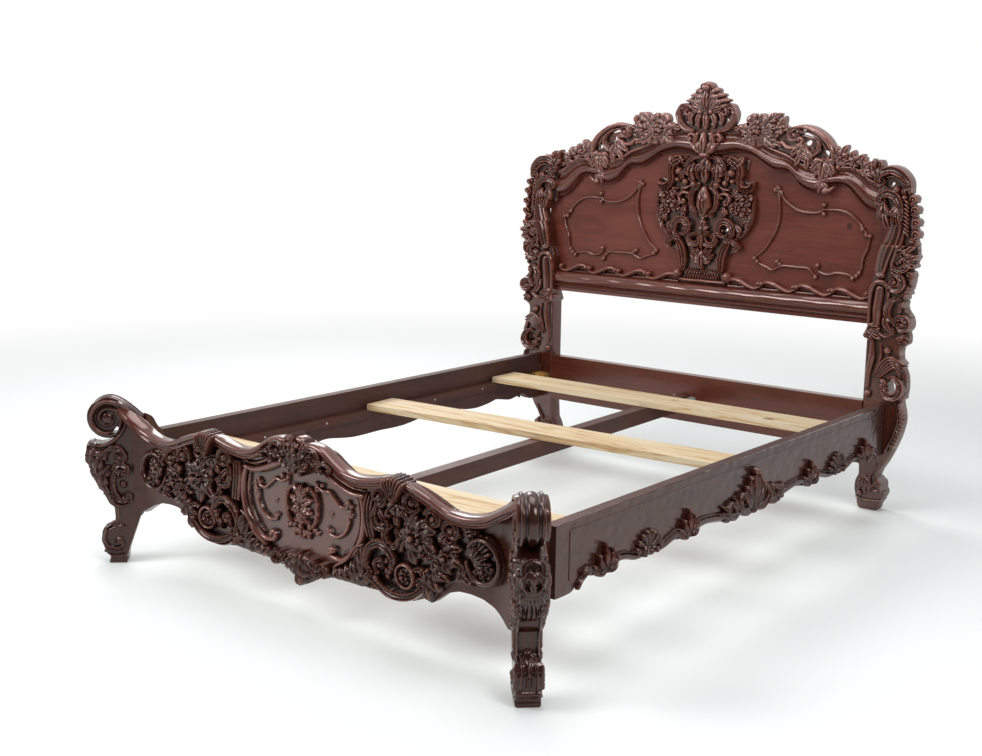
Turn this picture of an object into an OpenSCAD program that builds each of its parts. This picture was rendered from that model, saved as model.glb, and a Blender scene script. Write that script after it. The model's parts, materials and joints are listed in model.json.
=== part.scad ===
// Carved rococo bed frame: arched headboard, scroll-footed footboard, side rails and loose slats.
// Origin on the floor under the middle of the bed. X across the bed, +Y to the head, +Z up.

/* [Bed frame] */
// Width over the two side rails
frame_w = 1640; // [1400:10:1900]
// Length of a side rail, from the footboard corner to the headboard post
rail_l = 2032; // [1830:1:2200]
// Height of the rail tops above the floor
rail_top = 420; // [400:1:440]
// Height of a side rail board at its ends
rail_h = 192; // [180:1:205]
// Thickness of the rail boards
rail_t = 38; // [32:1:44]
// How far the wavy lower edge rises above the rail's end blocks
rail_wave = 30; // [15:1:40]
// Height of the carving on the side rails
rail_carving_t = 14; // [8:1:18]

/* [Slats] */
// Width of the two slat cleats
cleat_w = 25; // [20:1:32]
// Height of the two slat cleats
cleat_h = 30; // [24:1:40]
// Depth of the slats' upper faces below the rail tops
slat_drop = 58; // [45:1:70]
// Width of a slat
slat_w = 152; // [90:1:160]
// Thickness of a slat
slat_t = 22; // [16:1:25]
// Gap between a slat's end and the side rail
slat_gap = 8; // [6:1:14]
// Turn of the middle slat, in degrees
slat_turn = 3.8; // [0:0.1:4.4]
// Width of the centre rail
centre_w = 45; // [35:1:60]
// Height of the centre rail
centre_h = 58; // [45:1:70]
// Sideways set of each end of the centre rail from the middle
centre_skew = 40; // [0:1:60]

/* [Headboard] */
// Height of the lower edge of the headboard's panel rail
panel_z = 704; // [640:1:800]
// Height of the panel rail
panel_rail_h = 86; // [70:1:100]
// Thickness of the headboard posts
post_t = 65; // [55:1:80]
// Thickness of the headboard panel
panel_t = 18; // [12:1:24]
// Thickness of the arched moulding in front of the panel
arch_t = 33; // [20:1:38]
// Thickness of the head cross rail
cross_t = 38; // [30:1:45]

/* [Footboard] */
// Thickness of the footboard's board
board_t = 26; // [20:1:32]
// Depth of the cap moulding in front of the board
cap_t = 42; // [30:1:46]
// Thickness of the corner wings
wing_t = 35; // [28:1:40]
// Height of the carving in front of the board
foot_carving_t = 32; // [20:1:40]
// Thickness of a foot leg
leg_t = 66; // [56:1:76]

/* [Fittings] */
// Length of a corner brace's leg
brace_leg = 56; // [45:1:58]
// Thickness of the steel plates
plate_t = 3; // [2:0.5:4]
// Shank radius of the wood screws
screw_r = 2; // [1.5:0.25:2.5]

/* [Hidden] */

mahogany = [0.26, 0.09, 0.06];
pine = [0.87, 0.70, 0.45];
steel = [0.62, 0.63, 0.64];
brass = [0.72, 0.56, 0.28];

// Places along and across the bed
rail_x = frame_w / 2;                    // outer face of a side rail
rail_in = rail_x - rail_t;               // inner face of a side rail
leg_out = 20;                            // a foot leg's middle, outside the rail's outer face
leg_fore = 134;                          // a foot leg's middle, in front of the rail's end
leg_reach = 82;                          // the scroll's lip, from the leg's middle, along the diagonal
leg_back = 95;                           // the leg's inner end, from its middle, along the diagonal
front_reach = leg_fore + (leg_reach + leg_t / 2) * cos(45);
foot_depth = 90;                         // the back of a head foot, behind the posts' front
rail_y0 = front_reach - (front_reach + rail_l + foot_depth) / 2;
rail_y1 = rail_y0 + rail_l;              // front face of the headboard posts
rail_mid = (rail_y0 + rail_y1) / 2;
post_in = rail_x - 102;                  // inner face of a headboard post
post_back = rail_y1 + post_t;
panel_y1 = post_back - 2;
panel_y0 = panel_y1 - panel_t;           // front face of the headboard panel
arch_y0 = panel_y0 - arch_t;             // front face of the arched moulding
lift = panel_z - 704;                    // how far the whole upper headboard is raised
panel_z0 = panel_z + panel_rail_h;
leg_x = rail_x + leg_out;
leg_y = rail_y0 - leg_fore;
board_y0 = leg_y + 44;                   // front face of the footboard's board
board_y1 = board_y0 + board_t;
slat_z1 = rail_top - slat_drop;
slat_z0 = slat_z1 - slat_t;              // top of the cleats and of the centre rail
wing_x = rail_x - 22;                    // outer face of a corner wing
clear = 0.1;                             // radial room round a screw
hook_x = (rail_in + wing_x) / 2;         // middle of the hook plates, where rail and wing overlap
hook_w = 14;
hook_h = 120;
hook_mid = rail_top - 110;

// Curve and outline helpers
function blend(a, b, c, d, t) = 0.5 * (2 * b + (c - a) * t + (2 * a - 5 * b + 4 * c - d) * t * t
    + (3 * b - a - 3 * c + d) * t * t * t);
function smooth(p, n = 4) = let (m = len(p) - 1)
    concat([for (i = [0:m - 1], k = [0:n - 1])
        blend(p[max(i - 1, 0)], p[i], p[i + 1], p[min(i + 2, m)], k / n)], [p[m]]);
function back(p) = [for (i = [len(p) - 1:-1:0]) p[i]];
function flip(p) = [for (q = p) [-q.x, q.y]];
function both(p) = concat(p, flip(back(p)));
function unit(v) = v / norm(v);
function across(p, i) = let (d = unit(p[min(i + 1, len(p) - 1)] - p[max(i - 1, 0)])) [-d.y, d.x];
// A band along path p, w wide in its middle and e wide at its ends
function band(p, w, e) = let (m = len(p) - 1,
        h = [for (i = [0:m]) (e + (w - e) * sin(180 * i / m)) / 2])
    concat([for (i = [0:m]) p[i] + h[i] * across(p, i)],
           [for (i = [m:-1:0]) p[i] - h[i] * across(p, i)]);
// A curl that runs from radius r0 to r1 and from angle a0 to a1 round c
function curl(c, r0, r1, a0, a1, n = 14) = [for (k = [0:n])
    let (r = r0 + (r1 - r0) * k / n, a = a0 + (a1 - a0) * k / n) c + r * [cos(a), sin(a)]];
// A lobed leaf of length l and width w along +Y
function leaf(l, w, lobes = 3, n = 16) = let (
        h = [for (k = [0:n]) w / 2 * pow(sin(180 * pow(k / n, 0.8)), 0.7)
            * (0.86 + 0.14 * cos(360 * lobes * k / n))])
    concat([for (k = [0:n - 1]) [h[k], l * k / n]], [[0, l]], [for (k = [n - 1:-1:1]) [-h[k], l * k / n]]);

// Headboard outlines are drawn on a 112 mm half crest and 718 mm half opening, and stretch to the real ones
crest_half = 112;
function hx(x) = let (a = abs(x)) sign(x) * (a <= 112 ? a * crest_half / 112
    : a <= 718 ? crest_half + (a - 112) * (post_in - crest_half) / 606
    : a - 718 + post_in);
function hz(z) = z <= 440 ? z : z >= 690 ? z + lift : 440 + (z - 440) * (250 + lift) / 250;
function head(p) = [for (q = p) [hx(q.x), hz(q.y)]];

// Footboard outlines are drawn on a 250 mm half shield and 690 mm half board, and stretch to the real ones
shield_half = 250;
board_half = rail_x - 130;
function fx(x) = let (a = abs(x)) sign(x) * (a <= 250 ? a * shield_half / 250
    : a <= 690 ? shield_half + (a - 250) * (board_half - shield_half) / 440
    : a - 690 + board_half);
function foot(p) = [for (q = p) [fx(q.x), q.y]];

// Side rail outlines stretch with the rail's length, as seen from outside with the head to the right
function ry(y) = rail_mid + y * rail_l / 2032;
function along(p) = [for (q = p) [ry(q.x), q.y + rail_top - 420]];
low_shift = rail_top - 420 + 192 - rail_h;  // how far the carving moves with the lower edge

// Slabs of an outline: upright across the bed, upright along it, and flat
module slab_xz(y0, y1) translate([0, y1, 0]) rotate([90, 0, 0]) linear_extrude(y1 - y0) children();
module slab_yz(x0, x1) translate([x0, 0, 0]) rotate([90, 0, 90]) linear_extrude(x1 - x0) children();
module slab_xy(z0, z1) translate([0, 0, z0]) linear_extrude(z1 - z0) children();
module block(a, b) translate(a) cube(b - a);
module pair(left) if (left) mirror([1, 0, 0]) children(); else children();
module disc(p, r) translate(p) circle(r, $fn = 32);
module leaf_at(p, turn, l, w, lobes = 3) translate(p) rotate(turn) polygon(leaf(l, w, lobes));

// Headboard posts: a carved stile with pierced outer scrolls on a raked cabriole leg
post_inner = [[718, 140], [718, 850], [732, 893], [750, 990], [753, 1000]];
post_outer = [[886, 1000], [889, 955], [872, 925], [856, 900], [874, 878], [875, 855], [858, 825],
    [850, 795], [858, 768], [880, 745], [884, 722], [872, 694], [877, 672], [874, 648], [850, 630],
    [847, 600], [858, 565], [876, 530], [881, 490], [876, 455], [864, 432], [876, 395], [879, 358],
    [866, 305], [846, 258], [816, 198], [795, 163], [785, 139]];
head_foot = [[785, 139], [788, 122], [806, 96], [815, 76], [803, 48], [790, 22], [777, 0], [716, 0],
    [706, 40], [701, 75], [705, 110], [718, 140]];
module head_post() {
    difference() {
        intersection() {
            slab_xz(rail_y1 - 1, rail_y1 + foot_depth + 1) difference() {
                polygon(head(concat(smooth(post_outer, 3), smooth(head_foot, 3),
                    [post_inner[1], post_inner[2], post_inner[3], post_inner[4]])));
                disc([hx(832), hz(508)], 24);
                disc([hx(845), hz(722)], 15);
                disc([hx(842), hz(862)], 13);
                disc([hx(856), hz(950)], 17);
            }
            slab_xy(0, hz(1001)) polygon([[post_in - 30, rail_y1], [rail_x + 80, rail_y1],
                [rail_x + 80, rail_y1 + 30], [rail_x + 6, post_back],
                [rail_x + 6, rail_y1 + foot_depth], [post_in - 30, rail_y1 + foot_depth]]);
            slab_yz(post_in - 40, rail_x + 120) polygon([[rail_y1, hz(1000)], [rail_y1, 190],
                [rail_y1 + 8, 110], [rail_y1 + 22, 50], [rail_y1 + 36, 0], [rail_y1 + foot_depth, 0],
                [rail_y1 + foot_depth - 6, 50], [post_back + 8, 120], [post_back, 210],
                [post_back, hz(1000)]]);
        }
        socket_pockets(rail_y1, 1);
        brace_screw_set(clear, false);
    }
}
module head_post_left() color(mahogany) pair(true) head_post();
module head_post_right() color(mahogany) head_post();

// Shoulders: acanthus hood, upright stub and bead string on top of each post
shoulder = [[753, 1000], [768, 1040], [762, 1078], [740, 1092], [718, 1094], [718, 1216], [706, 1232],
    [699, 1293], [726, 1297], [738, 1270], [786, 1254], [818, 1230], [836, 1198], [848, 1176],
    [860, 1130], [868, 1080], [872, 1040], [874, 1000]];
module head_shoulder() slab_xz(rail_y1 + 2, panel_y0 - 8) {
    polygon(head(shoulder));
    for (bead = [[858, 1161], [869, 1118], [874, 1073], [876, 1030]])
        disc([hx(bead.x), hz(bead.y)], 19);
    translate([hx(874) - 12, hz(1000)]) square([14, 30]);
}
module head_shoulder_left() color(mahogany) pair(true) head_shoulder();
module head_shoulder_right() color(mahogany) head_shoulder();

// Arch: the panel, the thick serpentine moulding before it and the pierced border on top
arch_lower = [[0, 1295], [60, 1302], [135, 1314], [205, 1300], [245, 1277], [300, 1248], [352, 1245],
    [380, 1226], [412, 1190], [455, 1170], [492, 1173], [508, 1196], [536, 1200], [572, 1204],
    [604, 1190], [640, 1151], [678, 1118], [718, 1106]];
arch_upper = [[0, 1388], [70, 1386], [135, 1382], [190, 1366], [245, 1338], [300, 1316], [352, 1298],
    [400, 1272], [455, 1256], [508, 1252], [560, 1260], [605, 1262], [645, 1248], [680, 1222],
    [718, 1205]];
module head_panel() color(mahogany) slab_xz(panel_y0, panel_y1) difference() {
    polygon(concat(head(both(concat([for (p = [[718, 850], [732, 893], [750, 990], [753, 1000],
        [770, 1040], [770, 1200]]) p], back(smooth([for (p = arch_upper) p - [0, 8]], 3))))),
        [[-hx(718), panel_z0], [hx(718), panel_z0]]));
    disc([0, hz(1222)], 26);
    for (side = [-1, 1]) disc([side * 96, hz(1012)], 14);
}
module head_arch() slab_xz(arch_y0, panel_y0)
    polygon(head(concat(smooth(arch_lower, 3), back(smooth(arch_upper, 3)))));
module head_arch_left() color(mahogany) pair(true) head_arch();
module head_arch_right() color(mahogany) head_arch();

border_top = [[718, 1216], [706, 1232], [690, 1262], [668, 1288], [645, 1306], [618, 1322],
    [590, 1332], [566, 1336], [545, 1346], [512, 1372], [470, 1390], [430, 1398], [395, 1412],
    [368, 1404], [356, 1378], [338, 1408], [318, 1440], [282, 1440], [240, 1450], [196, 1448],
    [165, 1450], [140, 1428], [112, 1430]];
module head_border() slab_xz(arch_y0 - 4, panel_y0) difference() {
    polygon(head(concat(border_top, [for (p = smooth(arch_upper, 3)) if (p.x > 112) p])));
    disc([hx(468), hz(1345)], 21);
    disc([hx(352), hz(1340)], 9);
    disc([hx(592), hz(1290)], 9);
    disc([hx(146), hz(1408)], 8);
}
module head_border_left() color(mahogany) pair(true) head_border();
module head_border_right() color(mahogany) head_border();

crest = [[0, 1574], [26, 1568], [44, 1548], [58, 1524], [82, 1504], [122, 1494], [134, 1478],
    [116, 1456], [112, 1430], [112, 1387]];
module head_crest() color(mahogany) slab_xz(arch_y0 - 14, panel_y0 - 7) difference() {
    polygon(head(both(concat(crest,
        [for (p = back(smooth(arch_upper, 3))) if (p.x < 112) p]))));
    for (side = [-1, 1]) disc([side * hx(76), hz(1424)], 11);
}
module arch_clasp() color(mahogany) slab_xz(arch_y0 - 18, arch_y0)
    polygon(head(both([[0, 1386], [30, 1384], [52, 1362], [44, 1330], [26, 1304], [0, 1297]])));

// Cartouche: pierced shield of shells, ears, ring volutes and a waisted stand
cartouche = [[0, 1290], [60, 1286], [120, 1290], [188, 1282], [178, 1250], [160, 1226], [176, 1198],
    [206, 1206], [218, 1190], [196, 1166], [216, 1148], [226, 1118], [213, 1045], [188, 1003],
    [152, 968], [173, 944], [150, 926], [112, 915], [88, 890], [81, 862], [96, 838], [132, 834],
    [134, 812], [100, 800]];
module head_cartouche() color(mahogany) slab_xz(panel_y0 - 36, panel_y0) difference() {
    polygon(head(both(concat(cartouche, [[100, 790]]))));
    disc([0, hz(1222)], 18);
    for (side = [-1, 1]) disc([side * 96, hz(1012)], 12);
}

// Moulded rail under the panel, with a wavy bead standing on it
module head_panel_rail() color(mahogany) slab_yz(-post_in, post_in) polygon(concat(
    [[panel_y1, panel_z], [panel_y0 - 26, panel_z], [panel_y0 - 26, panel_z + 18],
        [panel_y0 - 32, panel_z + 22], [panel_y0 - 32, panel_z + 30]],
    [for (k = [0:8]) let (a = 180 * k / 8) [panel_y0 - 34 - 6 * sin(a) + 14 * k / 8,
        panel_z + 34 + (panel_rail_h - 34) * k / 8]],
    [[panel_y1, panel_z0]]));
wave_x0 = 136;
wave_x1 = 712;
wave_turns = 3.5;
module wave_bead() slab_xz(panel_y0 - 18, panel_y0) {
    polygon(concat([[wave_x0, panel_z0], [hx(wave_x1), panel_z0]],
        [for (k = [56:-1:0]) let (t = k / 56, x = wave_x0 + (hx(wave_x1) - wave_x0) * t)
            [x, panel_z0 + 13 + 7 * cos(360 * wave_turns * t)]]));
}
module wave_bead_left() color(mahogany) pair(true) wave_bead();
module wave_bead_right() color(mahogany) wave_bead();

// Applied scroll frame on each half of the panel, four strokes that end in balls
scroll_top = [[316, 1170], [350, 1132], [396, 1104], [446, 1096], [486, 1100], [504, 1112]];
scroll_shoulder = [[508, 1110], [556, 1112], [600, 1102], [640, 1075], [660, 1050], [672, 1036]];
scroll_outer = [[690, 1012], [684, 980], [668, 940], [664, 902], [656, 880]];
scroll_low_outer = [[638, 864], [618, 874], [572, 879], [532, 870], [502, 876], [486, 892]];
scroll_low_inner = [[482, 862], [452, 886], [400, 888], [352, 889], [326, 880], [300, 870],
    [276, 880], [240, 892]];
scroll_inner = [[306, 1176], [318, 1140], [322, 1096], [316, 1044], [296, 994], [262, 944], [228, 914]];
module panel_scrolls() slab_xz(panel_y0 - 9, panel_y0) {
    for (s = [scroll_top, scroll_shoulder, scroll_outer, scroll_low_outer, scroll_low_inner,
            scroll_inner])
        polygon(band(smooth(head(s), 4), 12, 9));
    for (ball = [[504, 1126], [504, 1096], [680, 1024], [490, 898], [484, 856], [646, 870],
            [322, 902], [224, 908], [310, 1180]])
        disc([hx(ball.x), hz(ball.y)], 10);
}
module panel_scrolls_left() color(mahogany) pair(true) panel_scrolls();
module panel_scrolls_right() color(mahogany) panel_scrolls();

module head_cross_rail() color(mahogany) difference() {
    block([-post_in, rail_y1, rail_top - rail_h], [post_in, rail_y1 + cross_t, rail_top]);
    hanger_screw_set(rail_y1, -centre_skew, 1, clear, false);
}

// Side rails: wavy lower edge between end blocks, chamfered at the head end
rail_low = [[-1016, 228], [-958, 228], [-936, 234], [-916, 250], [-890, 258], [-860, 252],
    [-806, 244], [-745, 254], [-712, 258], [-672, 250], [-592, 242], [-520, 246], [-470, 254],
    [-385, 244], [-310, 256], [-262, 258], [-190, 248], [-120, 242], [0, 244]];
function full_low() = let (h = smooth([for (p = rail_low) [p.x, 420 - rail_h
        + (p.y - 228) * rail_wave / 30]], 3))
    concat(h, [for (p = back(h)) if (p.x < 0) [-p.x, p.y]]);
module side_rail() difference() {
    intersection() {
        slab_yz(rail_in, rail_x) polygon(along(concat(full_low(), [[1016, 420], [-1016, 420]])));
        slab_xy(0, rail_top + 1) polygon([[rail_in - 1, rail_y0], [rail_x, rail_y0],
            [rail_x, rail_y1 - 84], [rail_x - 14, rail_y1 - 68], [rail_x - 14, rail_y1],
            [rail_in - 1, rail_y1]]);
    }
    for (end = [0, 1]) hook_room(end);
    cleat_screw_set(clear, false);
    brace_screw_set(clear, false);
}
module side_rail_left() color(mahogany) pair(true) side_rail();
module side_rail_right() color(mahogany) side_rail();

// Rail carving: a rope-like roll along the lower edge that joins leaves, shells and a palmette
rail_roll = [[-924, 238], [-900, 258], [-868, 266], [-806, 262], [-745, 272], [-700, 266],
    [-655, 254], [-592, 256], [-528, 252], [-480, 264], [-440, 270], [-385, 262], [-318, 274],
    [-262, 270], [-200, 262], [-130, 256], [-60, 256], [0, 258]];
module rail_carving() slab_yz(rail_x, rail_x + rail_carving_t) {
    for (side = [-1, 1]) {
        polygon(band([for (p = smooth(rail_roll, 3))
            [rail_mid + side * (ry(p.x) - rail_mid), p.y + low_shift]], 17, 12));
        rail_leaf(side, -806, 246, 14, 56, 78);
        rail_leaf(side, -592, 240, 8, 84, 96);
        rail_leaf(side, -386, 246, -10, 68, 86);
        rail_leaf(side, -196, 250, -24, 52, 62);
        rail_leaf(side, -112, 244, 12, 60, 64);
        rail_leaf(side, -62, 244, 22, 88, 48);
    }
    translate([rail_mid, 244 + low_shift]) polygon(leaf(130, 74, 2));
}
module rail_leaf(side, y, z, turn, l, w) translate([rail_mid + side * (ry(y) - rail_mid),
    z + low_shift]) rotate(side * turn) polygon(leaf(l, w, 2));
module rail_carving_left() color(mahogany) pair(true) rail_carving();
module rail_carving_right() color(mahogany) rail_carving();

// Slat cleats, centre rail and slats
cleat_y0 = rail_y0 + 66;
cleat_y1 = rail_y1 - 66;
module slat_cleat() difference() {
    block([rail_in - cleat_w, cleat_y0, slat_z0 - cleat_h], [rail_in, cleat_y1, slat_z0]);
    cleat_screw_set(clear, false);
}
module slat_cleat_left() color(mahogany) pair(true) slat_cleat();
module slat_cleat_right() color(mahogany) slat_cleat();

// The centre rail lies askew: its foot end to the right, its head end to the left
centre_y0 = board_y1 + plate_t + 1;
centre_y1 = rail_y1 - plate_t - 1;
centre_a = atan2(-2 * centre_skew, centre_y1 - centre_y0);
module centre_rail() color(mahogany) slab_xy(slat_z0 - centre_h, slat_z0) polygon([
    [centre_skew - centre_w / 2, centre_y0], [centre_skew + centre_w / 2, centre_y0],
    [-centre_skew + centre_w / 2, centre_y1], [-centre_skew - centre_w / 2, centre_y1]]);

slat_l = 2 * (rail_in - slat_gap);
slat_head_y = ry(763);
slat_middle_y = ry(48);
slat_foot_y = ry(-841);
module slat(y, turn) color(pine) translate([0, y, slat_z0]) rotate(turn)
    translate([-slat_l / 2, -slat_w / 2, 0]) cube([slat_l, slat_w, slat_t]);
module slat_head() slat(slat_head_y, 0.8);
module slat_middle() slat(slat_middle_y, slat_turn);
module slat_foot() slat(slat_foot_y, 0);

// Footboard: one serpentine board whose ends sweep forward into the diagonal legs
board_top = [[0, 547], [26, 543], [44, 533], [72, 533], [110, 524], [150, 500], [190, 480],
    [225, 473], [262, 473], [310, 480], [350, 489], [392, 493], [432, 487], [470, 477], [510, 463],
    [545, 449], [580, 439], [620, 436], [660, 440], [702, 451], [738, 470], [775, 490], [812, 512]];
board_low = [[800, 172], [756, 166], [738, 178], [700, 201], [660, 215], [620, 219], [580, 217],
    [540, 204], [510, 181], [489, 165], [475, 178], [455, 167], [420, 153], [383, 147], [340, 147],
    [300, 152], [255, 150], [200, 148], [130, 148], [90, 144], [60, 134], [30, 117], [0, 101]];
cap_h = 32;
cap_step = 20;
// Places in plan beside a leg: along the diagonal by d, on its board side (-1) or wing side (1), with a joint line
joint_line = 0.1;
function leg_side(d, side) = let (s = side * (leg_t / 2 + joint_line))
    [leg_x + (d + s) * cos(45), leg_y + (s - d) * cos(45)];
board_sweep = let (a = [fx(690), board_y0], c = leg_side(-58, -1))
    smooth([a, [a.x * 0.62 + c.x * 0.38, a.y * 0.78 + c.y * 0.22], c], 4);
module foot_board() color(mahogany) difference() {
    intersection() {
        slab_xz(board_y0 - 60, board_y1) polygon(foot(both(concat(
            smooth([for (p = board_top) p - [0, cap_step]], 3), board_low))));
        slab_xy(0, 700) board_plan();
    }
    for (side = [-1, 1]) slab_xz(board_y0 - 61, board_y1 + 1) {
        disc([side * fx(330), 212], 17);
        disc([side * fx(66), 150], 10);
        disc([side * fx(455), 440], 10);
    }
    hanger_screw_set(board_y1, centre_skew, -1, clear, false);
}
module board_plan() {
    inner = leg_side(-leg_back, -1);
    polygon(both(concat([[inner.x + board_y1 - inner.y, board_y1], inner], back(board_sweep))));
}

// Cap moulding along the board's top edge, from leg to leg
module foot_cap() color(mahogany) intersection() {
    slab_xz(board_y0 - 90, board_y0) polygon(foot(both(concat(smooth(board_top, 3),
        back(smooth([for (p = board_top) p - [0, cap_h]], 3))))));
    slab_xy(0, 700) polygon(both(concat([[fx(690), board_y0 - cap_t], leg_side(-18, -1)],
        back(board_sweep))));
}

// Shield in the middle of the footboard, with the oval medallion on it
shield = [[0, 508], [40, 497], [72, 497], [110, 488], [150, 464], [190, 444], [238, 438], [250, 400], [246, 340],
    [230, 280], [196, 228], [150, 198], [90, 186], [40, 190], [0, 196]];
module foot_cartouche() color(mahogany) {
    slab_xz(board_y0 - 22, board_y0) difference() {
        polygon(foot(both(shield)));
        polygon(foot(both([[0, 430], [120, 436], [190, 410], [206, 340], [180, 262], [120, 226],
            [0, 240]])));
    }
    slab_xz(board_y0 - 24, board_y0) disc([0, 334], 58);
    slab_xz(board_y0 - 10, board_y0) for (side = [-1, 1])
        polygon(band(smooth(foot([[side * 92, 398], [side * 150, 372], [side * 172, 330],
            [side * 140, 276], [side * 86, 256]]), 4), 16, 10));
}

// Pierced leaf and scroll clusters beside the shield, each ending in a round medallion
cluster_top = [[252, 438], [310, 446], [350, 455], [392, 459], [432, 453], [470, 443], [510, 429],
    [545, 415], [580, 405]];
cluster_low = [[590, 250], [540, 226], [510, 196], [489, 168], [455, 172],
    [420, 156], [383, 150], [340, 150], [300, 156], [262, 156], [262, 280], [256, 360]];
medallion_x = fx(672);
medallion_z = 322;
medallion_r = 68;
module foot_carving() difference() {
    slab_xz(board_y0 - foot_carving_t, board_y0) difference() {
        union() {
            polygon(concat(foot(cluster_top), [[medallion_x - 56, 400], [medallion_x - 56, 256]],
                foot(cluster_low)));
            disc([medallion_x, medallion_z], medallion_r);
        }
        disc([medallion_x, medallion_z], medallion_r - 20);
        disc([fx(330), 212], 17);
        disc([fx(455), 440], 10);
        disc([fx(540), 330], 12);
    }
    slab_xy(0, 700) board_plan();
}
module foot_carving_left() color(mahogany) pair(true) foot_carving();
module foot_carving_right() color(mahogany) foot_carving();

// Carved strip and pendant under the shield
module foot_apron() color(mahogany) slab_xz(board_y0 - foot_carving_t - 8, board_y0) difference() {
    polygon(foot(both([[0, 193], [40, 187], [90, 183], [146, 186], [150, 196], [196, 224], [228, 272],
        [258, 278], [258, 154], [200, 150], [130, 150], [90, 146], [60, 136], [30, 119], [0, 103]])));
    for (side = [-1, 1]) disc([side * fx(66), 150], 9);
}

// Foot legs: diagonal scroll legs with a volute on top and a block foot
leg_front = [[25, 0], [23, 20], [33, 29], [40, 54], [46, 74], [43, 95], [31, 112], [8, 125],
    [0, 134], [-3, 150], [-3, 172], [0, 188], [15, 201], [28, 226], [45, 243], [49, 267], [64, 292],
    [74, 309], [73, 327], [82, 343], [79, 368], [75, 384], [72, 402], [62, 398], [44, 394],
    [24, 397], [8, 404], [-8, 416], [-20, 432]];
leg_top = [[-12, 540], [-36, 530], [-58, 510], [-78, 490], [-leg_back, 476]];
leg_rear = [[-leg_back, 165], [-80, 150], [-63, 100], [-48, 59], [-38, 29], [-30, 0]];
scroll_c = [11, 480];
scroll_r = 62;
module foot_leg() translate([leg_x, leg_y, 0]) rotate(-45) slab_xz(-leg_t / 2, leg_t / 2) {
    polygon(concat(smooth(leg_front, 3), [[-28, 480]], smooth(leg_top, 3), leg_rear));
    disc(scroll_c, scroll_r);
}
module foot_leg_left() color(mahogany) pair(true) foot_leg();
module foot_leg_right() color(mahogany) foot_leg();

// Corner wings: short return boards from each leg to the side rail
module corner_wing() difference() {
    inner = leg_side(-leg_back, 1);
    sweep = leg_side(-66, 1);
    mid_y = (inner.y + rail_y0) / 2;
    intersection() {
        slab_xy(0, 600) polygon(concat([[wing_x - wing_t, rail_y0], [wing_x - wing_t, board_y1],
            [inner.x + board_y1 - inner.y, board_y1], inner],
            smooth([sweep, [wing_x + 7, inner.y - 2], [wing_x, rail_y0 - 14], [wing_x, rail_y0]], 4)));
        slab_yz(wing_x - wing_t - 1, leg_x + 40) polygon(concat(
            smooth([[board_y1 - 30, 500], [inner.y, 476], [mid_y, 442], [rail_y0, rail_top]], 3),
            smooth([[rail_y0, rail_top - rail_h + 30], [mid_y, 208], [inner.y, 178],
                [board_y1 - 30, 160]], 3)));
    }
    socket_pockets(rail_y0, -1);
}
module corner_wing_left() color(mahogany) pair(true) corner_wing();
module corner_wing_right() color(mahogany) corner_wing();

// Rail fastening: a hooked plate let into each rail end, a slotted plate in the post or wing
hook_rise = 30;
hook_reach = 12;
module hook_plate(y, dir) {
    sheet_at(y, -dir);
    for (z = [hook_mid - 32, hook_mid + 26]) {
        block_at(y, dir, 0, hook_reach, plate_t / 2, z - 8, z + 8);
        block_at(y, dir, plate_t + 0.2, hook_reach, plate_t / 2, z - 16, z - 8);
    }
}
module block_at(y, dir, s0, s1, half, z0, z1) block(
    [hook_x - half, min(y + dir * s0, y + dir * s1), z0],
    [hook_x + half, max(y + dir * s0, y + dir * s1), z1]);
module sheet_at(y, dir, grow = 0) block_at(y, dir, 0, plate_t, hook_w / 2 + grow,
    hook_mid - hook_h / 2 - grow, hook_mid + hook_h / 2 + grow);
module socket_plate(y, dir) difference() {
    sheet_at(y, dir);
    for (z = [hook_mid - 32, hook_mid + 26])
        block_at(y, dir, -1, plate_t + 1, plate_t / 2 + 0.3, z - 8, z - 8 + hook_rise);
}
module socket_pockets(y, dir) {
    sheet_at(y, dir);
    for (z = [hook_mid - 32, hook_mid + 26])
        block_at(y, dir, plate_t - 0.5, hook_reach + 2, plate_t / 2 + 1, z - 18, z - 8 + hook_rise);
}
module hook_room(end) sheet_at(end == 1 ? rail_y1 : rail_y0, end == 1 ? -1 : 1);
module both_sides() for (side = [0, 1]) mirror([side, 0, 0]) children();
module rail_hooks() color(steel) both_sides() {
    hook_plate(rail_y0, -1);
    hook_plate(rail_y1, 1);
}
module hook_sockets() color(steel) both_sides() {
    socket_plate(rail_y0, -1);
    socket_plate(rail_y1, 1);
}

// Corner braces: brass angle plates between each side rail and headboard post
brace_z0 = slat_z0 - cleat_h;
brace_mid = slat_z0 - cleat_h / 2;
screw_l = 16;
brace_steps = [22, 44];
module screw(l, grow, head) {
    translate([0, 0, -plate_t - grow]) cylinder(h = l + plate_t + 2 * grow, r = screw_r + grow, $fn = 24);
    if (head) translate([0, 0, -plate_t - 1.2]) cylinder(h = 1.2, r = 2 * screw_r, $fn = 24);
}
module brace_screw_set(grow, head) for (s = brace_steps) {
    translate([rail_in, rail_y1 - s, brace_mid]) rotate([0, 90, 0]) screw(screw_l, grow, head);
    translate([rail_in - s, rail_y1, brace_mid]) rotate([-90, 0, 0]) screw(screw_l, grow, head);
}
module corner_braces() color(brass) both_sides() difference() {
    union() {
        block([rail_in - plate_t, rail_y1 - brace_leg, brace_z0], [rail_in, rail_y1, slat_z0]);
        block([rail_in - brace_leg, rail_y1 - plate_t, brace_z0], [rail_in, rail_y1, slat_z0]);
    }
    brace_screw_set(clear, false);
}
module brace_screws() color(brass) both_sides() brace_screw_set(0, true);

// Screws that hold the cleats to the rails
cleat_screw_n = 7;
module cleat_screw_set(grow, head) for (k = [0:cleat_screw_n - 1])
    translate([rail_in - cleat_w + plate_t,
        cleat_y0 + 60 + (cleat_y1 - cleat_y0 - 120) * k / (cleat_screw_n - 1), brace_mid])
        rotate([0, 90, 0]) screw(cleat_w + 16, grow, head);
module cleat_screws() color(steel) both_sides() cleat_screw_set(0, true);

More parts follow.
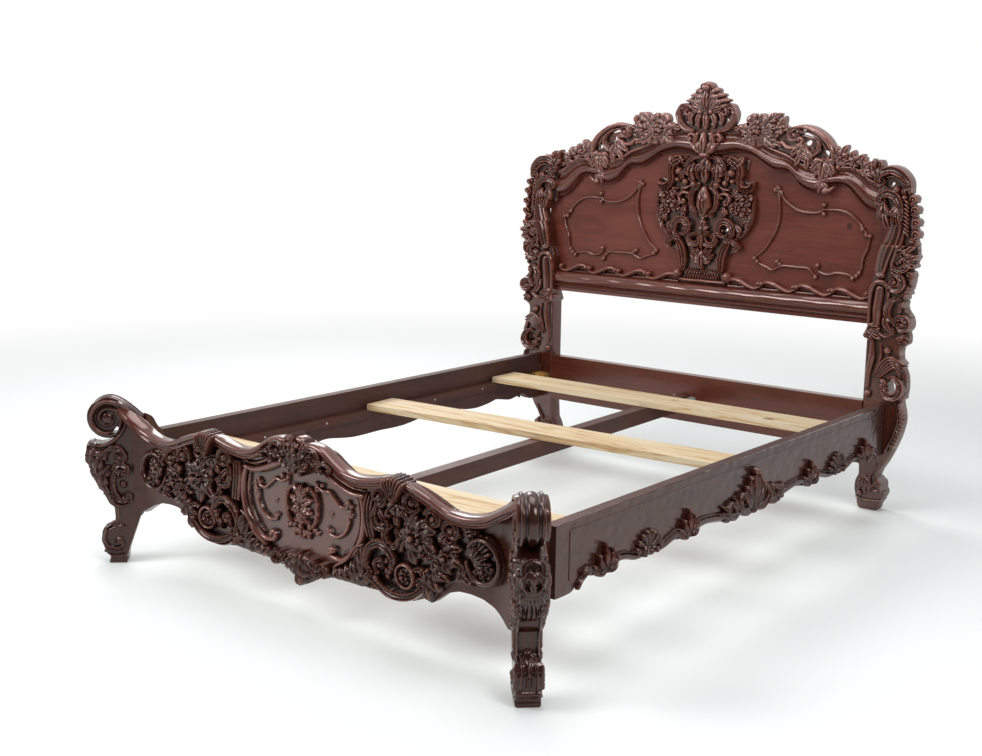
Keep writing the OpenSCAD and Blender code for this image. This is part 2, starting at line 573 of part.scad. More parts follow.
// Hangers: U-shaped steel shoes that carry the centre rail's ends
hanger_deep = 46;
hanger_ear = 26;
hanger_half = centre_w / 2 + 1 + hanger_deep * 2 * centre_skew / (centre_y1 - centre_y0);
module hanger(y, x, dir) difference() {
    z0 = slat_z0 - centre_h;
    z1 = slat_z0 - 8;
    y0 = min(y, y - dir * hanger_deep);
    y1 = max(y, y - dir * hanger_deep);
    back_y = min(y, y - dir * plate_t);
    union() {
        block([x - hanger_half - hanger_ear, back_y, z0 - plate_t],
            [x + hanger_half + hanger_ear, back_y + plate_t, z1]);
        block([x - hanger_half - plate_t, y0, z0 - plate_t], [x + hanger_half + plate_t, y1, z0]);
        for (left = [x - hanger_half - plate_t, x + hanger_half])
            block([left, y0, z0 - plate_t], [left + plate_t, y1, z1]);
    }
    hanger_screw_set(y, x, dir, clear, false);
}
module hanger_screw_set(y, x, dir, grow, head) for (side = [-1, 1], drop = [24, 46])
    translate([x + side * (hanger_half + plate_t / 2 + hanger_ear / 2), y, slat_z0 - drop])
        rotate([-dir * 90, 0, 0]) screw(screw_l, grow, head);
module hanger_head() color(steel) hanger(rail_y1, -centre_skew, 1);
module hanger_foot() color(steel) hanger(board_y1, centre_skew, -1);
module hanger_screws() color(steel) {
    hanger_screw_set(rail_y1, -centre_skew, 1, 0, true);
    hanger_screw_set(board_y1, centre_skew, -1, 0, true);
}

head_post_left();
head_post_right();
head_shoulder_left();
head_shoulder_right();
head_panel();
head_arch_left();
head_arch_right();
head_border_left();
head_border_right();
head_crest();
arch_clasp();
head_cartouche();
head_panel_rail();
wave_bead_left();
wave_bead_right();
panel_scrolls_left();
panel_scrolls_right();
head_cross_rail();
side_rail_left();
side_rail_right();
rail_carving_left();
rail_carving_right();
slat_cleat_left();
slat_cleat_right();
centre_rail();
foot_board();
foot_cap();
foot_cartouche();
foot_carving_left();
foot_carving_right();
foot_apron();
foot_leg_left();
foot_leg_right();
corner_wing_left();
corner_wing_right();
hanger_head();
hanger_foot();
hanger_screws();
rail_hooks();
hook_sockets();
corner_braces();
brace_screws();
cleat_screws();
slat_head();
slat_middle();
slat_foot();
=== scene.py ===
# %% [markdown]
# # A carved mahogany bed, dressed in Blender
# The bed's boards, rails, slats and steel fittings come in as finished solids. This lesson adds what a
# carver and a polisher would: leafwork, scrolls and mouldings as new meshes, and wood, steel and brass
# finishes made from nodes. Everything is in metres, with the floor at z = 0 and the headboard at +Y.

# %% Load the bed's solids
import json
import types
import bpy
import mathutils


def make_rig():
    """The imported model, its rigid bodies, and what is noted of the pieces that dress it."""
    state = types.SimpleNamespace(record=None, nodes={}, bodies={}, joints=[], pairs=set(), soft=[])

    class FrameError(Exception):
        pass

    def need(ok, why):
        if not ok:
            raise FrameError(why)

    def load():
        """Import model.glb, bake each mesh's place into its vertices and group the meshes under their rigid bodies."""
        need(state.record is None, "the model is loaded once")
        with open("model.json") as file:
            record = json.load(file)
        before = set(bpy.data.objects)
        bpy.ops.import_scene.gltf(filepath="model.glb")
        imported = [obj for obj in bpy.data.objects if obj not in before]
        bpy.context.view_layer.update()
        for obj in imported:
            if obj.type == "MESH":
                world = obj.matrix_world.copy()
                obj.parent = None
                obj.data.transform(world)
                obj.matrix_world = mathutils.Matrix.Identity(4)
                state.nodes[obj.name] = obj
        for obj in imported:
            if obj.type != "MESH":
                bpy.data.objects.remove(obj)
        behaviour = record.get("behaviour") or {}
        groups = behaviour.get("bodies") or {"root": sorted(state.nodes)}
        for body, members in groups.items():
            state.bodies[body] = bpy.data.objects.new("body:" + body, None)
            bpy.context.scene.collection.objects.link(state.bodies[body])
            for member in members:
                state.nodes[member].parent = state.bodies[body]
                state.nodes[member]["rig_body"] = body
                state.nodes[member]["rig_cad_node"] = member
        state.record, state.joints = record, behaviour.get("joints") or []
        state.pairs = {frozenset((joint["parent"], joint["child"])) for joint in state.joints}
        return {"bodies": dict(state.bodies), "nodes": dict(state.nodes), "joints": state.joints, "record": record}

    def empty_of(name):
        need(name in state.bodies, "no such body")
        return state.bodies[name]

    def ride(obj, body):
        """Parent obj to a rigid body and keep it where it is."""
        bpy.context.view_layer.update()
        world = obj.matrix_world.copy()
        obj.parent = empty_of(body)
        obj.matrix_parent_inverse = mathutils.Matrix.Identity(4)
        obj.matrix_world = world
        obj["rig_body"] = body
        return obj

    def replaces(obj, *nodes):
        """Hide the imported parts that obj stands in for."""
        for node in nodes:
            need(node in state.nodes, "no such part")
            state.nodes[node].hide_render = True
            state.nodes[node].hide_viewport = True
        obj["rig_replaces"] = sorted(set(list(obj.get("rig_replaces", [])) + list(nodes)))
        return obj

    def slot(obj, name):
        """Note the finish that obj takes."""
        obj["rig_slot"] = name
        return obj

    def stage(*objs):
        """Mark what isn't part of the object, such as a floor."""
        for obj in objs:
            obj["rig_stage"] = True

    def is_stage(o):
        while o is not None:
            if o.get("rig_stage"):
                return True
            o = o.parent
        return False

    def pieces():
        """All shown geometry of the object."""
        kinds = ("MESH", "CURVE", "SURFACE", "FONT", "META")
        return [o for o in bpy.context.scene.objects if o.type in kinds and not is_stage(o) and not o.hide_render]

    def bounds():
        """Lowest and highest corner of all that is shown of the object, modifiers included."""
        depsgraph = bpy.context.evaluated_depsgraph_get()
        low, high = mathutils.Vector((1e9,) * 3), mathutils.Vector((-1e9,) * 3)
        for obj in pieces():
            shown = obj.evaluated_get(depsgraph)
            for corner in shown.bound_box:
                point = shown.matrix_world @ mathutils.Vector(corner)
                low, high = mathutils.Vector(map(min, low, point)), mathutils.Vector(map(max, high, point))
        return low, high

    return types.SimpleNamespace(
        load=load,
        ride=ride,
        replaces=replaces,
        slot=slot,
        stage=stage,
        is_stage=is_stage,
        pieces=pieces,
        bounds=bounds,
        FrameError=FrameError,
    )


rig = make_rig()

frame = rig.load()

import json
import math

import bpy
import numpy as np
from mathutils import Matrix

cad_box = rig.bounds()
print(len(frame["nodes"]), "solids, box", [round(v, 3) for corner in cad_box for v in corner])

# %% [markdown]
# ## Camera
# The bed is seen from beyond its right foot corner, a little above eye level of a seated person. The
# camera is built from its heading, its dip and a small tilt, because a matrix made from three axes says
# exactly where it looks, while a track-to constraint would hide the tilt. Its lens follows from the focal
# length in pixels of a picture 982 pixels wide.

# %% Put the camera in its place
CAMERA_AT = (2.7359, -3.5651, 1.4112)
SENSOR_MM, FOCAL_PIXELS, PICTURE_WIDTH = 36.0, 1343.4, 982
heading, dip, tilt = np.radians([39.245, 10.747, -0.761])
ahead = np.array([-np.sin(heading) * np.cos(dip), np.cos(heading) * np.cos(dip), -np.sin(dip)])
level = np.array([np.cos(heading), np.sin(heading), 0.0])
down = np.cross(ahead, level)
image_right = np.cos(tilt) * level + np.sin(tilt) * down
image_down = np.cos(tilt) * down - np.sin(tilt) * level
camera = bpy.data.objects.new("camera", bpy.data.cameras.new("camera"))
bpy.context.scene.collection.objects.link(camera)
matrix = np.eye(4)
matrix[:3, 0], matrix[:3, 1], matrix[:3, 2], matrix[:3, 3] = image_right, -image_down, -ahead, CAMERA_AT
camera.matrix_world = Matrix(matrix.tolist())
camera.data.sensor_width = SENSOR_MM
camera.data.lens = SENSOR_MM * FOCAL_PIXELS / PICTURE_WIDTH
camera.data.clip_end = 100
bpy.context.scene.camera = camera
print("lens", round(camera.data.lens, 2), "mm")

# %% [markdown]
# ## Node helpers
# A material is a small graph. Short helpers keep each finish readable: they make a node, mix two colours,
# turn a value into a colour, calculate, and stretch a noise along the grain. The last two are about light:
# one tells a ray that shows the background from a ray that lights the bed, the other says how bright the
# room is in a direction, because a real room is dimmer behind the viewer than behind the bed.

# %% Helpers for node graphs
BEHIND_VIEWER = 0.16
TO_VIEWER = (0.55, -0.83, 0.0)


def put(graph, value, socket):
    """Link another node's output to a socket, or set a plain value on it."""
    if isinstance(value, bpy.types.NodeSocket):
        graph.links.new(value, socket)
    else:
        socket.default_value = value


def node(graph, kind, **sockets):
    """A node of this kind with its sockets filled by name."""
    made = graph.nodes.new(kind)
    for name, value in sockets.items():
        put(graph, value, made.inputs[name.replace("_", " ")])
    return made


def calculated(graph, kind, operation, *values):
    """The result of a Math or VectorMath node."""
    made = graph.nodes.new(kind)
    made.operation = operation
    for value, socket in zip(values, made.inputs):
        put(graph, value, socket)
    return made.outputs["Value"]


def mixed(graph, factor, first, second):
    """First and second colour mixed by factor, each a colour or another node's output."""
    made = graph.nodes.new("ShaderNodeMix")
    made.data_type = "RGBA"
    for index, value in ((0, factor), (6, first), (7, second)):
        put(graph, (*value, 1) if isinstance(value, tuple) else value, made.inputs[index])
    return made.outputs[2]


def ramp(graph, value, stops):
    """Value turned into a colour or a grey by stops of (place, colour)."""
    made = graph.nodes.new("ShaderNodeValToRGB")
    graph.links.new(value, made.inputs[0])
    points = made.color_ramp.elements
    while len(points) < len(stops):
        points.new(0.5)
    for point, (place, colour) in zip(points, stops):
        point.position = place
        point.color = (*colour, 1) if isinstance(colour, tuple) else (colour, colour, colour, 1)
    return made.outputs[0]


def coordinates(graph, kind="Object"):
    """Where a shading point lies."""
    return graph.nodes.new("ShaderNodeTexCoord").outputs[kind]


def stretched(graph, along, stretch, turn=0.0):
    """Object coordinates pressed together along one axis, so that a pattern runs that way."""
    scale = [1.0 / stretch if axis == along else 1.0 for axis in "xyz"]
    turned = (turn, turn * 0.6, turn * 0.8)
    return node(graph, "ShaderNodeMapping", Vector=coordinates(graph), Scale=scale, Rotation=turned).outputs[0]


def noise(graph, along, stretch, scale, detail, roughness=0.5, distortion=0.0, turn=0.0):
    """A cloudy pattern from 0 to 1, drawn out along an axis by a factor."""
    return node(graph, "ShaderNodeTexNoise", Vector=stretched(graph, along, stretch, turn), Scale=scale,
        Detail=detail, Roughness=roughness, Distortion=distortion).outputs[0]


def node_in(graph, kind):
    """The first node of this kind that the graph already has."""
    return next(n for n in graph.nodes if n.bl_idname == kind)


def graph_of(name):
    """A new material and its graph, emptied, with its shader linked to the output."""
    material = bpy.data.materials.new(name)
    material.use_nodes = True
    graph = material.node_tree
    graph.nodes.clear()
    output = graph.nodes.new("ShaderNodeOutputMaterial")
    shader = graph.nodes.new("ShaderNodeBsdfPrincipled")
    graph.links.new(shader.outputs[0], output.inputs[0])
    return material, graph, shader


def background_ray(graph):
    """1 for a ray that comes from the camera, a mirror or glass, and 0 for one that carries light."""
    rays = graph.nodes.new("ShaderNodeLightPath").outputs
    seen = calculated(graph, "ShaderNodeMath", "MAXIMUM", rays["Is Camera Ray"], rays["Is Glossy Ray"])
    return calculated(graph, "ShaderNodeMath", "MAXIMUM", seen, rays["Is Transmission Ray"])


def toward_viewer(graph, coordinate, near, far):
    """1 on the far side of the room, falling to BEHIND_VIEWER between two distances on the way from the bed
    to the camera; a ray from the camera itself always sees 1."""
    across = calculated(graph, "ShaderNodeVectorMath", "DOT_PRODUCT", coordinates(graph, coordinate), TO_VIEWER)
    room = node(graph, "ShaderNodeMapRange", Value=across, From_Min=near, From_Max=far, To_Min=1,
        To_Max=BEHIND_VIEWER)
    camera_ray = graph.nodes.new("ShaderNodeLightPath").outputs["Is Camera Ray"]
    return calculated(graph, "ShaderNodeMath", "MAXIMUM", room.outputs[0], camera_ray)


print("helpers:", [f.__name__ for f in (put, node, calculated, mixed, ramp, coordinates, stretched, noise, node_in,
    graph_of, background_ray, toward_viewer)])

# %% [markdown]
# ## Polished mahogany
# Old mahogany is red-brown with long, fine fibres, broken into paler and darker bands, and French polish
# lies on it like glass. Three noises, each less drawn out than the last, give fibres, bands and broad
# cloudy patches, and the polish is a strong reflection with a warm tint. Each carved mesh carries an
# attribute, hollow, that is high in the recesses: there it darkens and dulls the finish, a painted shade
# together with the dark wax that gathers in hollows, while the ridges are painted paler, a painted highlight
# together with rubbed wear. The carving on the arch and the crest is painted paler than the rest, for the
# light that its upturned leaves catch, the side rails are left rough inside, and the panel has three old stains.

# %% Make the mahogany finishes
POLISH_TINT = (1.0, 0.80, 0.75, 1)
# the first of these tones is painted shade in the recesses, mixed with the dark of gathered wax; the second is a
# painted highlight on the ridges, with the pale of rubbed wear
HOLLOW_SHADE_AND_WAX_TONE, RIDGE_HIGHLIGHT_AND_WEAR_TONE, STAIN_TONE = (0.0045, 0.0014, 0.0009), (0.26, 0.115, 0.085), (0.022, 0.008, 0.006)
HOLLOW_ROUGH, RAW_ROUGH = (0.34, 0.34, 0.34), (0.6, 0.6, 0.6)
RAIL_INNER_FACE = (0.812, 0.818)
STAINS = [((0.605, 1.1237, 1.055), 0.015, 0.85), ((0.530, 1.1237, 0.850), 0.042, 0.42),
    ((0.300, 1.1237, 1.215), 0.07, 0.3)]


def mahogany(name, pale, deep, along, rough, shine=0.5, ior=1.5, tool_marks=0.0, carved=False):
    """Fibres = noise drawn out 22 times along the grain, bands 9 times, patches 1.8 times; the bands choose
    between deep and pale, the fibres darken and the patches lighten."""
    material, graph, shader = graph_of(name)
    fibres = noise(graph, along, 22, 170, 6, 0.65)
    bands = noise(graph, along, 9, 26, 4, 0.5, 0.6, 0.03)
    patches = noise(graph, along, 1.8, 3.2, 3, 0.55)
    tone = ramp(graph, bands, [(0.3, deep), (0.72, pale)])
    tone = mixed(graph, ramp(graph, fibres, [(0.42, 0.0), (0.62, 0.55)]), tone, tuple(v * 0.45 for v in deep))
    tone = mixed(graph, ramp(graph, patches, [(0.35, 0.0), (0.7, 0.45)]), tone, tuple(v * 1.5 for v in pale))
    roughness = ramp(graph, patches, [(0.3, rough * 0.75), (0.75, rough * 1.35)])
    if carved:
        hollow = graph.nodes.new("ShaderNodeAttribute")
        hollow.attribute_name = "hollow"
        depth = hollow.outputs["Fac"]
        # painted shade: the recesses are darkened where shade falls, together with the dark wax that gathers there
        tone = mixed(graph, ramp(graph, depth, [(0.48, 0.0), (0.68, 0.97)]), tone, HOLLOW_SHADE_AND_WAX_TONE)
        # painted highlight: the raised parts, and most of all the ridges, are painted paler for the glints of light
        # they catch, along with rubbed wear
        tone = mixed(graph, ramp(graph, depth, [(0.1, 0.5), (0.42, 0.0)]), tone, tuple(v * 2.2 for v in pale))
        tone = mixed(graph, ramp(graph, depth, [(0.0, 0.45), (0.16, 0.0)]), tone, RIDGE_HIGHLIGHT_AND_WEAR_TONE)
        roughness = mixed(graph, ramp(graph, depth, [(0.52, 0.0), (0.8, 1.0)]), roughness, HOLLOW_ROUGH)
    bump = node(graph, "ShaderNodeBump", Strength=0.25, Distance=0.0006, Height=fibres)
    if tool_marks:
        marks = graph.nodes.new("ShaderNodeTexVoronoi")
        marks.feature = "SMOOTH_F1"
        put(graph, stretched(graph, along, 1.3), marks.inputs["Vector"])
        put(graph, 34, marks.inputs["Scale"])
        bump = node(graph, "ShaderNodeBump", Strength=tool_marks, Distance=0.004, Height=marks.outputs["Distance"],
            Normal=bump.outputs[0])
    for socket, value in (("Base Color", tone), ("Roughness", roughness), ("Normal", bump.outputs[0]),
                          ("Specular IOR Level", shine), ("Specular Tint", POLISH_TINT), ("IOR", ior)):
        put(graph, value, shader.inputs[socket])
    return material


CARVED = {"tool_marks": 0.04, "carved": True}
carved_wood = mahogany("carved_mahogany", (0.087, 0.019, 0.011), (0.038, 0.008, 0.004), "z", 0.19, 0.9,
    1.58, **CARVED)
# painted light: a paler copy of the carved mahogany for the borders, curls, crest and clasp on the arch, for the light
# that their upturned leaves catch
painted_lit_crest_wood = mahogany("crest_mahogany", (0.155, 0.057, 0.046), (0.076, 0.025, 0.019), "z", 0.19, 0.95, 1.6, **CARVED)
dark_carving = mahogany("dark_carved_mahogany", (0.040, 0.010, 0.006), (0.017, 0.004, 0.003), "z", 0.18, 0.52,
    1.56, **CARVED)
moulded_wood = mahogany("moulded_mahogany", (0.100, 0.022, 0.013), (0.056, 0.012, 0.007), "x", 0.17, 0.8, 1.56)
upright_wood = mahogany("upright_mahogany", (0.070, 0.016, 0.009), (0.036, 0.008, 0.005), "z", 0.24, 0.8)
panel_wood = mahogany("panel_mahogany", (0.148, 0.035, 0.023), (0.093, 0.021, 0.013), "x", 0.32)
cross_wood = mahogany("cross_mahogany", (0.095, 0.020, 0.010), (0.050, 0.010, 0.005), "x", 0.24, 0.8)
rail_wood = mahogany("rail_mahogany", (0.058, 0.015, 0.010), (0.020, 0.006, 0.004), "y", 0.22, 0.72, tool_marks=0.6)
board_wood = mahogany("board_mahogany", (0.060, 0.016, 0.010), (0.030, 0.008, 0.005), "x", 0.26, 0.45,
    tool_marks=0.05)
inner_wood = mahogany("inner_mahogany", (0.078, 0.024, 0.016), (0.040, 0.012, 0.008), "y", 0.5)

# the side rails: past their inner face the polish ends and the raw wood begins
graph = rail_wood.node_tree
roughness = node_in(graph, "ShaderNodeBsdfPrincipled").inputs["Roughness"]
sides = node(graph, "ShaderNodeSeparateXYZ", Vector=coordinates(graph))
outward = calculated(graph, "ShaderNodeMath", "ABSOLUTE", sides.outputs["X"])
inside = node(graph, "ShaderNodeMapRange", Value=outward, From_Min=RAIL_INNER_FACE[0], From_Max=RAIL_INNER_FACE[1],
    To_Min=1.0, To_Max=0.0)
put(graph, mixed(graph, inside.outputs[0], roughness.links[0].from_socket, RAW_ROUGH), roughness)

# the panel's stains: (place, radius, strength), each fading with the distance from its place
graph = panel_wood.node_tree
colour = node_in(graph, "ShaderNodeBsdfPrincipled").inputs["Base Color"]
for place, radius, strength in STAINS:
    away = calculated(graph, "ShaderNodeVectorMath", "DISTANCE", coordinates(graph), place)
    near = node(graph, "ShaderNodeMapRange", Value=away, From_Min=radius * 0.4, From_Max=radius,
        To_Min=strength, To_Max=0)
    put(graph, mixed(graph, near.outputs[0], colour.links[0].from_socket, STAIN_TONE), colour)
print([m.name for m in bpy.data.materials])

# %% [markdown]
# ## Pine, steel and brass
# The slats are raw pine: cream wood with warm growth bands and a few brown knots, no polish at all. The
# hangers and screws are plain rolled steel, brushed and lightly spotted, and the corner braces are brass
# gone brown where it is handled least. Knots are the centres of widely spaced cells.

# %% Make the pine and metal finishes
pine, graph, shader = graph_of("raw_pine")
rings = noise(graph, "x", 11, 19, 3, 0.45, 1.0)
hairs = noise(graph, "x", 40, 260, 4, 0.6)
knots = node(graph, "ShaderNodeTexVoronoi", Vector=stretched(graph, "x", 1.5), Scale=5.5)
tone = ramp(graph, rings, [(0.34, (0.65, 0.55, 0.39)), (0.46, (0.63, 0.50, 0.31)), (0.50, (0.45, 0.27, 0.12)),
    (0.54, (0.61, 0.47, 0.28)), (0.7, (0.66, 0.55, 0.38))])
tone = mixed(graph, ramp(graph, hairs, [(0.42, 0.0), (0.7, 0.2)]), tone, (0.56, 0.34, 0.15))
tone = mixed(graph, ramp(graph, knots.outputs["Distance"], [(0.05, 0.95), (0.11, 0.0)]), tone, (0.17, 0.06, 0.02))
bump = node(graph, "ShaderNodeBump", Strength=0.3, Distance=0.0006, Height=hairs)
for socket, value in (("Base Color", tone), ("Roughness", 0.62), ("Normal", bump.outputs[0])):
    put(graph, value, shader.inputs[socket])


def metal(name, clean, spotted, roughness):
    """Brushed metal: hairlines from a stretched noise, spots of tarnish from a round one."""
    made, graph, shader = graph_of(name)
    lines = noise(graph, "x", 30, 400, 3)
    spots = noise(graph, "x", 1, 60, 5, 0.7)
    bump = node(graph, "ShaderNodeBump", Strength=0.15, Distance=0.0003, Height=lines)
    for socket, value in (("Base Color", mixed(graph, ramp(graph, spots, [(0.5, 0.0), (0.68, 0.8)]), clean, spotted)),
                          ("Roughness", ramp(graph, lines, [(0.3, roughness * 0.7), (0.7, roughness * 1.3)])),
                          ("Metallic", 1.0), ("Normal", bump.outputs[0])):
        put(graph, value, shader.inputs[socket])
    return made


steel = metal("brushed_steel", (0.56, 0.57, 0.58), (0.30, 0.28, 0.26), 0.32)
brass = metal("aged_brass", (0.72, 0.52, 0.24), (0.30, 0.19, 0.09), 0.34)
print("raw_pine, brushed_steel and aged_brass made")

# %% [markdown]
# ## Drawing a line
# Carving is drawn before it is cut. A smooth line through a few points, a spiral, the nearest place on a
# line and the depth inside a closed outline are all that the ornament below needs. Each is computed for
# every point of a grid at once.

# %% Lines, spirals and distances
def smooth(points, n=8):
    """A curve through the points: between two of them, the cubic whose slopes aim from neighbour to neighbour."""
    p = np.asarray(points, float)
    q = np.vstack([2 * p[:1] - p[1:2], p, 2 * p[-1:] - p[-2:-1]])
    t = np.linspace(0, 1, n, endpoint=False)[None, :, None]
    a, b, c, d = (q[i:len(q) - 3 + i, None, :] for i in range(4))
    s = 0.5 * (2 * b + (c - a) * t + (2 * a - 5 * b + 4 * c - d) * t**2 + (3 * b - a - 3 * c + d) * t**3)
    return np.vstack([s.reshape(-1, p.shape[1]), p[-1:]])


def curl(centre, r0, r1, a0, a1, n=24):
    """A spiral: the radius runs evenly from r0 to r1 while the angle runs from a0 to a1 degrees."""
    t = np.linspace(0, 1, n)
    r, a = r0 + (r1 - r0) * t, np.radians(a0 + (a1 - a0) * t)
    return np.column_stack([centre[0] + r * np.cos(a), centre[1] + r * np.sin(a)])


def lengths_along(line):
    """How far along a line each of its points lies."""
    return np.concatenate([[0], np.cumsum(np.hypot(*np.diff(line, axis=0).T))])


def headings(line, *spacing):
    """Unit vectors in which a line runs at its points."""
    way = np.gradient(line, *spacing, axis=0)
    return way / np.hypot(*way.T)[:, None]


def evenly(line, n):
    """n points spread evenly along a line."""
    length = lengths_along(line)
    s = np.linspace(0, length[-1], n)
    return np.column_stack([np.interp(s, length, line[:, k]) for k in (0, 1)])


def follow(path, u, w):
    """For each point, t from 0 to 1 at the nearest place on the path, and the distance off it, left positive."""
    pieces = np.diff(path, axis=0)
    lengths = np.hypot(*pieces.T)
    starts = np.concatenate([[0], np.cumsum(lengths)])
    best = np.full(u.shape, 1e9)
    t, off = np.zeros(u.shape), np.zeros(u.shape)
    for corner, d, length, start in zip(path[:-1], pieces, lengths, starts):
        if length < 1e-9:
            continue
        x, y = u - corner[0], w - corner[1]
        k = np.clip((x * d[0] + y * d[1]) / length**2, 0, 1)
        ex, ey = x - k * d[0], y - k * d[1]
        far = np.hypot(ex, ey)
        nearer = far < best
        best = np.where(nearer, far, best)
        t = np.where(nearer, (start + k * length) / starts[-1], t)
        off = np.where(nearer, np.where(d[0] * ey - d[1] * ex < 0, -far, far), off)
    return t, off


def depth_in(outline, u, w):
    """How far each point lies inside a closed outline, negative outside: nearest edge, signed by crossings."""
    outline = np.asarray(outline, float)
    after = np.roll(outline, -1, axis=0)
    off = follow(np.vstack([outline, outline[:1]]), u, w)[1]
    odd = np.zeros(u.shape, bool)
    for (a, b), (c, d) in zip(outline, after):
        if b != d:
            odd ^= ((b > w) != (d > w)) & (u < (c - a) * (w - b) / (d - b) + a)
    return np.where(odd, np.abs(off), -np.abs(off))


print("a test curl is", round(float(np.hypot(*np.diff(curl((0, 0), 30, 10, 0, 360), axis=0).T).sum())), "mm long")

# %% [markdown]
# ## A carved face
# A carver works a board from the front: the outline is sawn, holes are drilled, and the face is cut down
# around what stays proud. So each carved piece is a height field, a grid on which every ornament raises
# the wood with its own formula and the highest one wins. Hundreds of leaves, scrolls and balls then melt
# into each other, as they do in real carving, and stay one closed piece of wood.

# %% The carving and its cutting tools
class Carving:
    """A grid over (u, w) in millimetres with two numbers at each point: how far inside the outline it
    lies, and how high the wood stands there. Ornaments are joined by taking the larger of both."""

    def __init__(self, u0, w0, u1, w1, step=2.5):
        self.step = step
        self.u, self.w = np.meshgrid(np.arange(u0, u1 + step, step), np.arange(w0, w1 + step, step))
        self.inside = np.full(self.u.shape, -50.0)
        self.height = np.zeros(self.u.shape)

    def window(self, points, margin):
        """The part of the grid that lies round these points."""
        low, high = np.min(np.atleast_2d(points), 0) - margin, np.max(np.atleast_2d(points), 0) + margin
        i = np.searchsorted(self.u[0], [low[0], high[0]])
        j = np.searchsorted(self.w[:, 0], [low[1], high[1]])
        return slice(j[0], j[1]), slice(i[0], i[1])

    def lay(self, at, inside, height):
        """Join one ornament to the wood."""
        if inside.size:
            self.height[at] = np.where(inside > 0, np.maximum(self.height[at], height), self.height[at])
            self.inside[at] = np.maximum(self.inside[at], inside)

    def cut(self, outline):
        """Saw out a hole with this closed outline."""
        at = self.window(outline, 6)
        self.inside[at] = np.minimum(self.inside[at], -depth_in(outline, self.u[at], self.w[at]))

    def drill(self, *holes):
        """Drill holes, given as (u, w, radius). No two are alike: each is a bean, turned by where it is."""
        for u, w, radius in holes:
            at = self.window([(u, w)], radius * 1.5 + 6)
            x, y, turn = self.u[at] - u, self.w[at] - w, 0.7 * u + 0.3 * w
            long, short = x * np.cos(turn) + y * np.sin(turn), y * np.cos(turn) - x * np.sin(turn) + 0.02 * x * y
            self.inside[at] = np.minimum(self.inside[at], np.hypot(long, 1.6 * short) - radius)

    def plate(self, outline, height=0, edge=6):
        """A flat board: height inside the outline, falling by a quarter circle over the edge's width."""
        at = self.window(outline, 6)
        inside = depth_in(outline, self.u[at], self.w[at])
        k = np.clip(inside / edge, 0, 1)
        self.lay(at, inside, height * np.sqrt(k * (2 - k)))

    def stroke(self, points, width, height, base=0, kind="round", n=8):
        """A roll along a path, with k = distance off it over its half width: round is a half circle in k,
        hollow has a raised rim each side, reeded has ridges. Widths are spread along the path."""
        path = smooth(points, n) if len(points) > 2 and n > 1 else np.asarray(points, float)
        widths = np.atleast_1d(width) / 2
        at = self.window(path, widths.max() + 6)
        t, off = follow(path, self.u[at], self.w[at])
        half = np.interp(t, np.linspace(0, 1, len(widths)), widths)
        k = np.clip(np.abs(off) / np.maximum(half, 0.1), 0, 1)
        rise = {"round": np.sqrt(1 - k**2),
                "hollow": np.sqrt(1 - k**6) * (0.58 + 0.42 * np.clip(k / 0.72, 0, 1) ** 2),
                "reeded": np.sqrt(1 - k**4) * (0.78 + 0.22 * np.cos(3 * np.pi * k))}[kind]
        self.lay(at, half - np.abs(off), base + height * rise * (0.4 + 0.6 * half / widths.max()))

    def volute(self, centre, spiral, width, height, base=0, kind="hollow"):
        """A roll along a spiral (first and last radius, first and last angle, number of points)."""
        self.stroke(curl(centre, *spiral), width, height, base, kind, n=1)

    def scroll(self, points, curls, width, height, base=0, kind="hollow"):
        """A C or S scroll: a stroke whose ends roll up into spirals with a ball for an eye. A curl is
        (radius, degrees, side), side +1 to the left of the way out and -1 to the right."""
        path = smooth(points)
        for end, rolled in enumerate(curls):
            if not rolled:
                continue
            radius, degrees, side = rolled
            tip, way = (path[0], path[0] - path[1]) if end == 0 else (path[-1], path[-1] - path[-2])
            centre = tip + np.array([-way[1], way[0]]) / np.hypot(*way) * side * radius
            start = np.degrees(np.arctan2(tip[1] - centre[1], tip[0] - centre[0]))
            roll = curl(centre, radius, radius * 0.42, start, start + side * degrees, 20)[1:]
            path = np.vstack([roll[::-1], path]) if end == 0 else np.vstack([path, roll])
            self.ball(centre, radius * 0.42, height * 1.15, base)
        self.stroke(path, width, height, base, kind, n=1)

    def oval(self, centre, ru, rw, height, base=0):
        """A dome on an oval: height times the square root of 1 - (u/ru)^2 - (w/rw)^2."""
        at = self.window([centre], max(ru, rw) + 6)
        d = np.hypot((self.u[at] - centre[0]) / ru, (self.w[at] - centre[1]) / rw)
        self.lay(at, (1 - d) * min(ru, rw), base + height * np.sqrt(np.clip(1 - d**2, 0, 1)))

    def ball(self, centre, radius, height, base=0):
        """A round dome."""
        self.oval(centre, radius, radius, height, base)

    def balls(self, centres, *size):
        """Domes of one size."""
        for centre in centres:
            self.ball(centre, *size)

